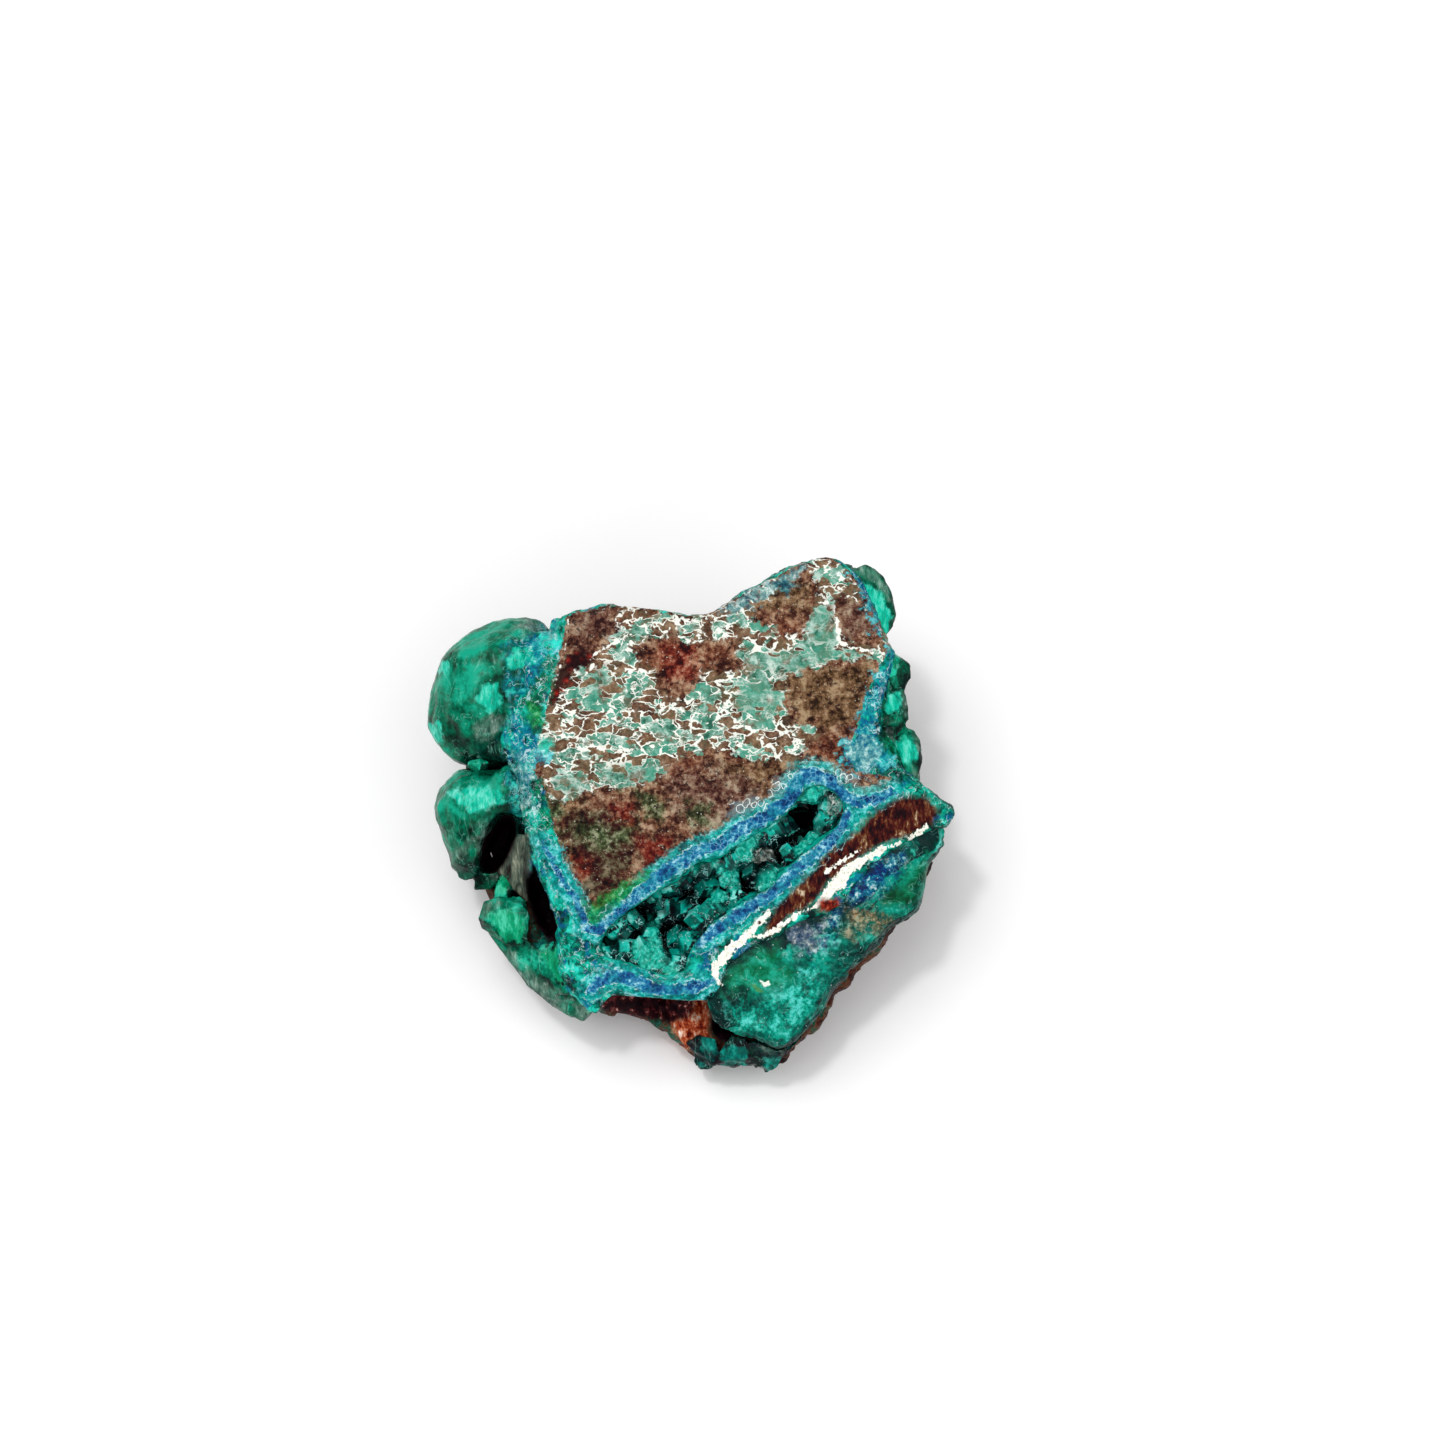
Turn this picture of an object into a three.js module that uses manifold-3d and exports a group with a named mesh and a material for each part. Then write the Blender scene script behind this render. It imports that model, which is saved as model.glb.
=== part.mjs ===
// Dioptase specimen: a palm-sized piece of red-brown copper ore with one flat, polished cut face.
// A cleft crosses the face and is lined with dioptase crystals. Smooth dioptase lobes, blocky crystals and
// a massive green slab have grown round the ore's edges. The back is sawn flat, so that the stone lies
// still with its cut face leaning towards the viewer.
//
// Everything is drawn in the cut face's own frame, in millimetres: `across` to the right, `up` the face, and
// `out` of it, with the face itself at out = 0. The finished solids are then tilted onto the base.
import * as THREE from 'three';
import { ConvexGeometry } from 'three/addons/geometries/ConvexGeometry.js';
import { mergeVertices } from 'three/addons/utils/BufferGeometryUtils.js';
import Module from 'manifold-3d';

const wasm = await Module();
wasm.setup();

const FACE_TILT = THREE.MathUtils.degToRad(20); // lean of the cut face towards the viewer
const FACE_HEIGHT = 19; // from the resting plane to the middle of the cut face
const CENTRE_SHIFT = new THREE.Vector3(0.15, -1.7, 0); // brings the middle of the footprint to the origin
const GAP = 0.3; // between neighbouring solids
const STONE_DEPTH = 36; // more than the deepest point under the face, before the back is sawn off

// Outlines run anticlockwise. Border of the flat face: across, up, then how far the rim outside it reaches and
// how far that rim drops.
const FACE_EDGE = [
  [-12.5, 18.5, 1.8, 1.6], [-12.7, 17.3, 1.8, 2.2], [-13, 16.2, 3.6, 2.8], [-13.6, 14.5, 4, 3],
  [-14, 12.7, 4, 3], [-14.5, 10.9, 3.9, 3], [-15.2, 8.9, 3.6, 3], [-16, 6.9, 3.2, 3], [-15.7, 4.9, 2.8, 3],
  [-15.3, 2.7, 2.2, 2.5], [-14.9, 0.2, 2, 2.5], [-14.5, -2.3, 2, 2.5], [-13.9, -4.8, 1.9, 2.4],
  [-13.4, -7.3, 1.6, 2.2], [-12.8, -9.8, 1.4, 2], [-12.4, -12.3, 1.4, 2], [-11.8, -14.8, 2, 1.5],
  [-11.2, -16.8, 1.5, 1.2], [-10.6, -18.1, 0.8, 1], [-10, -19.1, 0.4, 0.8], [-9.2, -19.5, 0.2, 0.5],
  [-8.7, -18.6, 0.2, 0.5], [-7.8, -17.8, 0.1, 0.5], [-5, -18, 0.1, 0.5], [-3, -18.1, 0.1, 0.5],
  [0, -18.3, 0.2, 0.5], [2, -18.1, 0.3, 0.5], [3, -16.8, 0.3, 0.5], [3.8, -14.5, 0.3, 0.5],
  [6, -12.8, 0.3, 0.5], [9, -11.4, 0.3, 0.5], [11, -10.2, 0.3, 0.5], [13, -9.6, 0.3, 0.5],
  [15.2, -8.6, 0.3, 0.5], [16.2, -6.8, 0.3, 0.5], [18.2, -4.5, 0.3, 0.5], [21, -2.6, 0.3, 0.5],
  [23.5, -1.6, 0.3, 0.5], [25.4, -0.7, 0.3, 0.5], [26.1, 0.3, 0.3, 0.5], [25.8, 1.2, 0.4, 0.5],
  [24.8, 1.8, 0.4, 0.5], [22.5, 3.2, 0.8, 0.8], [20.8, 4.6, 1, 1.2], [19.5, 6.4, 1.2, 1.4],
  [18.6, 8.6, 1.2, 1.5], [18.2, 10.6, 1.2, 1.5], [18.6, 12.6, 1.2, 1.3], [19.4, 14.4, 1, 1.2],
  [19.8, 16.1, 0.9, 1], [19.2, 17.6, 0.8, 0.8], [18.4, 19.4, 0.8, 0.8], [17.8, 21.3, 0.8, 0.8],
  [17, 23.1, 0.8, 0.8], [16, 24.4, 0.6, 0.8], [15, 25.3, 0.4, 0.6], [13.5, 25.7, 0.3, 0.5],
  [11.8, 25.5, 0.3, 0.5], [10.5, 25, 0.3, 0.5], [9, 24.2, 0.3, 0.5], [7, 23.2, 0.3, 0.5],
  [5, 22, 0.3, 0.5], [3.2, 20.8, 0.3, 0.5], [1.7, 20.1, 0.3, 0.5], [0, 19.9, 0.3, 0.5],
  [-1.8, 20.3, 0.3, 0.5], [-5, 20.7, 0.3, 0.5], [-7.8, 21, 0.3, 0.5], [-10.2, 20.3, 0.4, 0.6],
  [-12.3, 19.3, 0.8, 1],
];
const FACE_CENTRE = [2, 2];
const BLOCK_DEPTH = 6.5; // how deep the block under the face goes before it meets the wider ledge

// The wider ledge of ore below the face: across, up and how far its top lies below the face.
const LEDGE_EDGE = [
  [-15.8, 18.9, 8], [-19.4, 17.3, 8.5], [-21.7, 14.3, 9], [-22.7, 10.7, 9], [-22.9, 6.6, 9],
  [-23.3, 2.6, 9], [-22.7, -1.5, 9], [-21.4, -5.6, 8.5], [-20.2, -9.1, 8], [-18.9, -12.7, 8],
  [-17, -15.5, 8], [-14.5, -17.7, 7.5], [-11.7, -19.5, 7], [-9.2, -19.7, 7], [-8, -20.4, 8],
  [-6.2, -20.4, 8.5], [-4.6, -20.8, 8.5], [-3.4, -21.3, 8], [-2.3, -21.8, 7], [-1.9, -22.4, 6],
  [-1.1, -23.1, 5.5], [-0.2, -24.1, 5.5], [1, -25.1, 6], [4.5, -25, 6.5], [7.6, -25.4, 6.5],
  [9.5, -24.9, 6], [10.9, -23.3, 5.5], [12.4, -21.7, 5], [13.7, -20.4, 5], [14.3, -19.4, 5],
  [14.7, -18.2, 5], [16.1, -17.1, 5], [16.8, -15.8, 5], [19.2, -13.6, 5], [20.9, -11.2, 5], [23, -8.5, 5],
  [24, -5.5, 5], [25, -2.9, 5], [25.6, -0.4, 5], [24.4, 1.6, 5], [22.4, 4.6, 6], [21.1, 8.2, 6],
  [20.8, 11.7, 6], [20.9, 15.3, 6], [20, 17.8, 6], [19.2, 20.8, 6], [18, 23.9, 6], [15.4, 25.3, 7],
  [11.6, 24.9, 7], [7.6, 22.7, 7], [3.5, 20.7, 7], [-0, 19.6, 7], [-4.1, 20.3, 7], [-8, 20.7, 7],
  [-11.7, 19.6, 7],
];
const LEDGE_CENTRE = [1, -1];
// Walls of the ledge below its edge: depth under the edge, share by which the outline has drawn in, and how
// rough the broken wall is.
const WALL_LEVELS = [
  [1.2, 0.0, 0.15], [4, 0.04, 0.7], [8, 0.1, 0.9], [13, 0.16, 1.0], [19, 0.23, 1.1], [STONE_DEPTH, 0.36, 0.6],
];
// Broad breaks across the walls: the direction that each one faces, anticlockwise from across, and by how many
// degrees it undercuts the ledge.
const BREAKS = [[-30, 24], [18, 27], [58, 21], [98, 23], [138, 27], [176, 25], [214, 21]];

// Mouth of the crystal-lined cleft: across, up.
const CLEFT_MOUTH = [
  [-8.4, -14.1], [-6.8, -14.6], [-4.5, -15.3], [-2.6, -15.9], [-0.6, -15.5], [0.0, -13.8], [0.7, -12.3],
  [2.0, -10.8], [3.8, -9.5], [5.8, -8.1], [7.8, -7.3], [9.4, -5.5], [11.0, -3.9], [13.0, -2.5],
  [14.8, -0.9], [15.5, 1.1], [14.6, 2.5], [13.0, 3.3], [11.6, 2.9], [10.7, 1.7], [9.8, 0.5], [7.8, -0.9],
  [5.5, -2.4], [3.2, -3.8], [1.0, -4.4], [-1.0, -5.9], [-3.0, -7.3], [-5.0, -8.5], [-6.8, -9.8],
  [-8.4, -11.3], [-9.2, -12.9],
];
const CLEFT_CENTRE = [4.0, -6.6];
const CLEFT_DEPTH = 8;
const CLEFT_FLOOR = 6.4; // top of the crust that the crystals stand on

// Crystals that can be told apart in the cleft: across, up and out of the tip, radius, then how far the root
// lies from the tip across and up the face.
const CLEFT_CRYSTALS = [
  [5.5, -3.1, -0.5, 1.7, -0.6, 1.4], [8.7, -1.9, -0.6, 1.5, -0.8, 1.2], [12.3, 1.9, -0.4, 1.0, 0.2, 1.4],
  [11.3, -2.9, -0.5, 1.3, 0.9, -1.0], [3.9, -6.2, -0.8, 1.2, 0.2, -0.2], [1.6, -7.0, -1.4, 1.5, -0.2, 0.3],
  [2.9, -8.1, -0.5, 1.0, 0.5, -0.6], [7.9, -6.1, -0.5, 1.7, 0.9, -0.9], [-3.7, -12.0, -0.6, 1.0, -0.6, 0.5],
  [-4.4, -13.2, -0.4, 1.7, 0.2, -1.2], [-1.9, -15.2, -0.3, 1.1, 0.3, -0.7], [7.3, -3.9, -1.6, 1.2, 0.2, 0.4],
  [2.4, -3.9, -0.6, 1.3, -0.4, 1.3], [-0.6, -6.6, -0.5, 1.3, -0.5, 1.2], [-3.6, -8.6, -0.9, 1.4, -0.7, 1.1],
  [-6.2, -10.6, -1.2, 1.3, -0.9, 0.9], [0.2, -12.6, -0.9, 1.3, 1.0, -0.7],
  [-1.2, -12.2, -2.2, 1.5, 0.4, -0.4],
  [1.2, -10.0, -1.4, 1.3, 0.9, -0.6], [5.0, -8.0, -0.6, 1.1, 0.6, -0.9], [14.3, 0.6, -0.7, 1.1, 1.0, 0.1],
  [13.4, -1.6, -0.6, 1.0, 0.8, -0.8], [9.8, -4.2, -0.9, 1.1, 0.7, -0.8], [-7.6, -13.6, -0.8, 1.1, -0.7, -0.5],
  [-5.6, -14.9, -0.4, 1.0, -0.2, -0.8], [4.2, -5.0, -2.0, 1.3, -0.3, 0.6], [6.2, -5.6, -2.6, 1.2, 0.3, -0.2],
  [10.6, 0.9, -0.8, 1.0, -0.8, 0.8], [-2.0, -9.8, -2.4, 1.4, -0.6, 0.6], [-0.4, -9.6, -3.0, 1.4, 0.3, 0.2],
];
// Open holes and shafts that go deeper than what is round them: across, up, radii, turn in degrees, the
// depths of the mouth and the bottom.
const CLEFT_HOLE = { centre: [11.3, -0.6], radii: [1.4, 1.0], turn: 8, top: 0, bottom: 12.5 };
const LEFT_SHAFTS = [
  { centre: [-19.5, -2.9], radii: [1.5, 3.4], turn: -22, top: 1, bottom: 14 },
  { centre: [-14.9, -9.3], radii: [1.2, 3.9], turn: 17, top: 0, bottom: 12 },
];
const FOOT_SHAFT = { centre: [3.4, -21.4], radii: [1.2, 1.6], turn: 30, top: 0, bottom: 9.5 };

// Outlines of the two smooth lobes on the left and of the green slab on the lower right.
const UPPER_LOBE = [
  [-14.4, 18.7], [-14.7, 19.8], [-16.3, 20], [-18.1, 20.1], [-19.8, 19.7], [-21.3, 19.1], [-22.9, 18.3],
  [-24.2, 17.1], [-25.2, 15.5], [-25.7, 13.9], [-26.3, 11.9], [-26.7, 10.2], [-26.4, 8.7], [-25.8, 7.5],
  [-25, 6.4], [-23.7, 5.5], [-22.3, 5], [-19.9, 4.8], [-17.3, 6.2], [-15.3, 9], [-14.1, 12.4], [-14, 15.9],
];
const LOWER_LOBE = [
  [-23.7, 4.9], [-24.5, 4.2], [-25.3, 3], [-25.8, 1.9], [-25.9, 1], [-25.7, -0.1], [-25.5, -1.5],
  [-25.1, -2.8], [-24.6, -4], [-24.3, -5.3], [-23.4, -6], [-22, -6.4], [-20.3, -5.8], [-18.7, -3.8],
  [-17.1, -1.2], [-16.3, 1.5], [-16.7, 3.5], [-18.7, 4.7], [-21.4, 5.1],
];
// Low oval swellings that carry the lobes over onto the slope beside the face: across, up, out of the middle,
// then three radii.
const UPPER_LOBE_SWELLINGS = [
  [-17.3, 12.2, -3.3, 2.8, 6.2, 2.1], [-16.2, 17, -4.8, 2.5, 2.7, 2.5], [-18.2, 7.4, -4.6, 2.6, 2.4, 2.4],
];
const LOWER_LOBE_SWELLINGS = [[-18, 2.4, -3.9, 2.3, 2.6, 1.9], [-17, 3.6, -4.4, 1.8, 1.6, 2.2]];
const GREEN_SLAB = [
  [21.4, -3.2], [18.6, -5.1], [16.8, -7.3], [15.9, -9], [14.9, -10], [11.5, -11], [9.5, -12], [7, -13.2],
  [4.5, -15], [3.6, -17], [2.4, -18.9], [3.2, -20.3], [4.7, -21.8], [6.7, -22.4], [8.7, -23.3], [10, -23],
  [11, -21.9], [12.4, -20.7], [13.3, -19.4], [13.8, -18.2], [14.9, -16.8], [15.9, -15.5], [17.3, -14.3],
  [18.8, -12.8], [20.1, -11.1], [21.9, -10.2], [23.1, -9.4], [23.4, -7.9], [23.7, -6.2], [23.9, -5],
  [24.5, -4.2], [25.3, -3], [25.6, -1.9], [24.1, -2.1],
];

// Flat-faced crystals, each given by the corners of its front: across, up, out.
const UPPER_RIGHT_CRYSTALS = [
  [
    [15.7, 25.4, -0.8], [16.6, 24.1, -0.4], [17.6, 23.4, -0.4], [18.7, 22.3, -0.5], [19.6, 21, -0.7],
    [17.5, 25.4, -1.9], [18.6, 24.8, -2.1], [19.4, 24.1, -2.2], [20.2, 22.7, -2.2], [20.6, 21, -2],
  ],
  [
    [17.6, 22.6, -0.4], [18.7, 22.2, -0.5], [19.6, 21, -0.6], [20, 20, -0.7], [20, 18.3, -1.2],
    [19.2, 18.6, -0.7], [18.5, 20.2, -0.4], [20.4, 21.6, -1.9], [20.65, 20.6, -1.8], [20.65, 19.2, -1.7],
    [20.2, 18.3, -1.9],
  ],
  [[13.8, 25.7, -0.7], [14.8, 25.9, -1], [16.4, 25.7, -1.4], [17, 24.6, -1], [16.2, 24.4, -0.5]],
];
const RIGHT_RIM_CRYSTALS = [
  [
    [20.4, 17.2, -0.8], [20.3, 15.6, -0.5], [20.2, 14.2, -0.6], [20.9, 12.7, -0.9], [21.4, 15.6, -0.8],
    [21.3, 16.4, -1.4], [22.1, 15.2, -1.7], [22.2, 14, -1.7], [21.5, 12.9, -1.5],
  ],
  [
    [19.7, 12.4, -0.8], [20.6, 12.3, -0.5], [21, 11, -0.7], [20.4, 10.2, -0.9], [19.8, 11, -1],
    [21.4, 11.4, -1.4],
  ],
  [
    [21.1, 13.4, -1.5], [21.6, 12.2, -1.5], [21.9, 11, -1.7], [21.9, 9.7, -1.8], [21.2, 9, -1.3],
    [20.7, 10.8, -1.1],
  ],
  [
    [19.4, 9.3, -0.9], [20.7, 9.2, -0.9], [20.9, 7, -0.8], [20.4, 6, -0.7], [19.6, 7, -0.8],
    [21.4, 9.6, -1.6], [21.4, 7.4, -1.4],
  ],
  [
    [20.7, 8.2, -1.1], [21.6, 8.3, -0.7], [22.8, 6.3, -0.8], [23.1, 4.7, -1], [22.1, 5, -1],
    [20.95, 6.9, -1.2], [21.5, 9, -1.4], [22.5, 8.6, -1.7], [23.1, 7.7, -1.8], [23.3, 5.9, -1.7],
  ],
  [
    [21.8, 5.2, -1], [22.4, 5.9, -1.4], [23.2, 5.1, -1.2], [23.4, 3.4, -1.4], [22.6, 3.6, -0.8],
    [21.6, 4.6, -0.7],
  ],
  [
    [19.9, 17.2, -1.1], [21.2, 16.2, -1.4], [21.7, 13.2, -1.6], [21.3, 12, -1.6], [19.2, 12.8, -1.1],
    [19.6, 15.6, -1],
  ],
  [
    [18.9, 13.2, -1.1], [21.4, 12.6, -1.6], [21.7, 10, -1.7], [21.6, 8.6, -1.5], [18.8, 8.4, -1.1],
    [18.4, 10.8, -1.1],
  ],
  [
    [18.8, 9.4, -1.1], [21.6, 9.2, -1.5], [22.8, 7, -1.6], [23, 4.4, -1.5], [22.4, 3.2, -1.2],
    [20.2, 4.6, -1], [19, 6.4, -1],
  ],
];
const FAN_CRYSTALS = [
  [
    [-20.8, -8.6, -4.4], [-19.3, -8.1, -3.6], [-19.1, -9.4, -2.7], [-20.5, -10.6, -3.3], [-21.4, -10.3, -4.7],
    [-16.9, -8.8, -3], [-16.1, -9.9, -2.6], [-16.4, -12.8, -2.8], [-18.5, -12.9, -3.4], [-21.1, -11.3, -5],
  ],
  [
    [-15, -14.2, -2.4], [-13.6, -13.1, -1.5], [-12.2, -13.6, -1], [-12, -16.4, -1], [-13.2, -17.2, -1.5],
    [-15, -16, -2.4],
  ],
  [
    [-18.6, -12.4, -3.9], [-17.6, -11.8, -3.5], [-16.4, -12.4, -2.6], [-14.6, -14, -2.2],
    [-13.2, -17, -2], [-13.6, -18.6, -2.8], [-15.4, -17.6, -3.5], [-17.4, -15.4, -4],
  ],
  [
    [-20.5, -11.6, -5], [-18.6, -12.6, -4.2], [-17, -14.9, -4.2], [-15, -17.3, -3.8],
    [-13.2, -18.6, -3], [-11.4, -19.2, -2.4], [-19.75, -12.7, -5.4], [-18.2, -14.9, -5.6],
    [-16.4, -17.2, -5.4], [-14, -19.1, -4.8], [-11.8, -20.4, -4],
  ],
  [
    [-12.4, -18.2, -2], [-11, -17.9, -1.2], [-9.9, -18.6, -1.3], [-9.8, -20.1, -2.2],
    [-10.8, -20.6, -3], [-12.4, -19.9, -3.5],
  ],
  [[-19.8, -6.2, -5.4], [-18.8, -6.3, -4.6], [-18.2, -7.4, -4.4], [-18.6, -8.8, -4], [-19.8, -8.8, -4.8]],
  [
    [-15.2, -12.9, -2.5], [-13.3, -12.2, -1.4], [-12.1, -14.6, -0.8], [-11, -17.2, -0.8],
    [-11, -18.6, -1.1], [-13.4, -18, -2], [-15.2, -15.4, -2.6],
  ],
];
const FOOT_CRYSTALS = [
  [
    [-0.4, -23.2, -5.2], [0.2, -25.2, -6], [0.7, -26, -6.6], [2.2, -26, -6.4], [3, -24.6, -3.8],
    [2.6, -22.4, -3], [0.8, -22.1, -3.6],
  ],
  [
    [2.3, -24.8, -4.2], [3.3, -25.65, -5.8], [5.6, -25.45, -5.8], [6.3, -24.2, -3.2], [5.6, -22.4, -2.2],
    [4.2, -22, -2.4],
  ],
  [
    [5.4, -25.2, -5.4], [7.7, -26.1, -5.8], [8.8, -25.4, -5], [9.5, -24.1, -3.8], [8.9, -22.8, -2.2],
    [7, -22.3, -1.8], [5.7, -22.8, -2.6],
  ],
  [
    [8.3, -23.6, -2.8], [9.5, -24.1, -4], [10.7, -22.8, -3.6], [11.4, -22, -3], [10.6, -21.2, -2.2],
    [9.2, -22.2, -1.8],
  ],
];
const LOWER_LOBE_PRISMS = [
  [
    [-25.2, -0.8, -7.4], [-24.6, -3.1, -7.2], [-23.8, -5.3, -7.2], [-22.2, -3.2, -3.6], [-22.6, -0.8, -3.2],
    [-24.2, 0, -4.6],
  ],
  [
    [-23.5, -6.3, -7], [-22.8, -6.6, -6.4], [-21.7, -6.3, -5.2], [-21.3, -3.4, -3.6], [-22.6, -2.8, -3.6],
    [-24, -4.6, -6.6],
  ],
  [[-21.9, -7.5, -6.6], [-19.7, -7.4, -6], [-19.6, -5.2, -4.8], [-20.6, -4, -4.2], [-21.6, -4.4, -4.6]],
];
// The striated fin of ore between the two open shafts.
const FIN = [
  [-17.3, -1.7, -3.6], [-16.1, -2, -3], [-15.9, -5.5, -3.2], [-16.3, -8.9, -4.4], [-19.5, -5.7, -5.6],
  [-18.6, -5.2, -4.6], [-18.1, -3, -4.2],
];
// How far back the flat-faced crystals reach, and the share of their front's size that is left there.
const CRYSTAL_BACK = { right: -7, fan: -9.5, foot: -10, lobe: -11, fin: -12 };
const BACK_SHARE = 0.75;
// The pale crystal perched in the notch between the two lobes.
const PERCHED_CRYSTAL = [-21.3, 5.2, -2.4, 1.1, 0.75, 0.7, 0];

function seeded(seed) {
  let state = seed * 2654435761 >>> 0;
  return () => {
    state = (state + 0x6d2b79f5) >>> 0;
    let t = Math.imul(state ^ (state >>> 15), 1 | state);
    t = (t + Math.imul(t ^ (t >>> 7), 61 | t)) ^ t;
    return ((t ^ (t >>> 14)) >>> 0) / 4294967296;
  };
}

function solidOf(geometry) {
  const bare = geometry.clone();
  bare.deleteAttribute('normal');
  bare.deleteAttribute('uv');
  const merged = mergeVertices(bare, 1e-4);
  return new wasm.Manifold(new wasm.Mesh({
    numProp: 3,
    vertProperties: merged.attributes.position.array,
    triVerts: new Uint32Array(merged.index.array),
  }));
}

function geometryOf(solid) {
  const { numProp, vertProperties, triVerts } = solid.getMesh();
  const position = new Float32Array(vertProperties.length / numProp * 3);
  for (let i = 0; i < position.length / 3; i++) {
    position.set(vertProperties.subarray(i * numProp, i * numProp + 3), i * 3);
  }
  const geometry = new THREE.BufferGeometry();
  geometry.setAttribute('position', new THREE.BufferAttribute(position, 3));
  geometry.setIndex(new THREE.BufferAttribute(triVerts, 1));
  return geometry;
}

function joined(solids) {
  return solids.reduce((sum, solid) => sum.add(solid));
}

// The biggest connected body, which drops the splinters that a cut can leave.
function mainBody(solid) {
  return solid.decompose().reduce((best, body) => (body.volume() > best.volume() ? body : best));
}

// A closed skin over rings of equal length, the first ring nearest the viewer and each ring anticlockwise.
// Its two ends are closed by fans round a hub.
function loft(rings, [hubAcross, hubUp]) {
  const count = rings[0].length;
  const levels = rings.length;
  const middle = (ring) => ring.reduce((sum, point) => sum + point[2], 0) / count;
  const position = rings.flat(2);
  position.push(hubAcross, hubUp, middle(rings[0]), hubAcross, hubUp, middle(rings[levels - 1]));
  const index = [];
  for (let i = 0; i < count; i++) {
    const next = (i + 1) % count;
    for (let level = 0; level + 1 < levels; level++) {
      const [a, b] = [level * count + i, level * count + next];
      index.push(a, a + count, b, b, a + count, b + count);
    }
    const last = (levels - 1) * count;
    index.push(levels * count, i, next, levels * count + 1, last + next, last + i);
  }
  const geometry = new THREE.BufferGeometry();
  geometry.setAttribute('position', new THREE.Float32BufferAttribute(position, 3));
  geometry.setIndex(index);
  return solidOf(geometry);
}

// Moves a point of an outline straight away from a hub, by a distance in millimetres.
function pushed([across, up], [hubAcross, hubUp], distance) {
  const share = 1 + distance / Math.hypot(across - hubAcross, up - hubUp);
  return [hubAcross + (across - hubAcross) * share, hubUp + (up - hubUp) * share];
}

// Moves every point of an anticlockwise outline square to it, outwards by a distance in millimetres.
function outset(outline, distance) {
  return outline.map(([across, up], i) => {
    const before = outline.at(i - 1);
    const after = outline[(i + 1) % outline.length];
    const along = new THREE.Vector2(after[0] - before[0], after[1] - before[1]).normalize();
    return [across + along.y * distance, up - along.x * distance];
  });
}

const withHeight = (ring, out) => ring.map(([across, up]) => [across, up, out]);

// The block under the flat face. `grow` makes it larger all round, for cutting its neighbours clear.
function faceBlock(grow) {
  const random = seeded(11);
  const grown = outset(FACE_EDGE, grow);
  const rim = (extra) => FACE_EDGE.map(([, , width], i) => pushed(grown[i], FACE_CENTRE, width + extra(i)));
  const rimDrop = rim(() => 0).map(([across, up], i) => [across, up, grow - FACE_EDGE[i][3]]);
  const lumps = rimDrop.map(([across, up, out], i) => {
    const share = 0.35 + 0.3 * random();
    const lump = 0.3 * random() * FACE_EDGE[i][2];
    return [
      grown[i][0] + share * (across - grown[i][0]), grown[i][1] + share * (up - grown[i][1]),
      grow + share * share * (out - grow) - lump * share,
    ];
  });
  const under = rim(() => -0.1 - 0.5 * random());
  return loft([
    withHeight(grown, grow), lumps, rimDrop, withHeight(under, -3.6),
    withHeight(rim(() => -0.4), -BLOCK_DEPTH), withHeight(rim(() => -4), -2 * BLOCK_DEPTH),
  ], FACE_CENTRE);
}

// The broken ore below the face, down to its back.
function ledge(grow) {
  const random = seeded(5);
  const grown = outset(LEDGE_EDGE, grow);
  const level = (away, below) => grown.map((point, i) => [
    ...pushed(point, LEDGE_CENTRE, away(i)), Math.max(-STONE_DEPTH, -LEDGE_EDGE[i][2] - below),
  ]);
  const reach = LEDGE_EDGE.map(([across, up]) => Math.hypot(across - LEDGE_CENTRE[0], up - LEDGE_CENTRE[1]));
  const walls = WALL_LEVELS.map(([below, drawnIn, rough]) => (
    level((i) => rough * (2 * random() - 1) - drawnIn * reach[i], below)
  ));
  const core = withHeight(level(() => -9, 0), grow - BLOCK_DEPTH - 0.5);
  return loft([core, level(() => -6, -grow), level(() => -0.5, -grow), ...walls], LEDGE_CENTRE);
}

// The mouth of the cleft carried down to its floor, narrowed by `shrink` on every side.
function cleft(shrink) {
  const mouth = outset(CLEFT_MOUTH, -shrink);
  const level = (scale, out) => mouth.map((point) => [
    ...CLEFT_CENTRE.map((centre, i) => centre + (point[i] - centre) * scale), out,
  ]);
  return loft([level(1, 2), level(1, 0), level(0.96, -6), level(0.88, shrink - CLEFT_DEPTH)], CLEFT_CENTRE);
}

// A tapering hole with an oval mouth.
function shaft({ centre, radii, turn, top, bottom }, grow = 0) {
  const sides = 10;
  const angle = THREE.MathUtils.degToRad(turn);
  const ring = (scale, out) => Array.from({ length: sides }, (_, i) => {
    const theta = i / sides * 2 * Math.PI;
    const x = (radii[0] * scale + grow) * Math.cos(theta);
    const y = (radii[1] * scale + grow) * Math.sin(theta);
    return [
      centre[0] + x * Math.cos(angle) - y * Math.sin(angle),
      centre[1] + x * Math.sin(angle) + y * Math.cos(angle),
      out,
    ];
  });
  return loft([ring(1, 1 - top), ring(1, -(top + bottom) / 2), ring(0.55, -grow - bottom)], centre);
}

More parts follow.
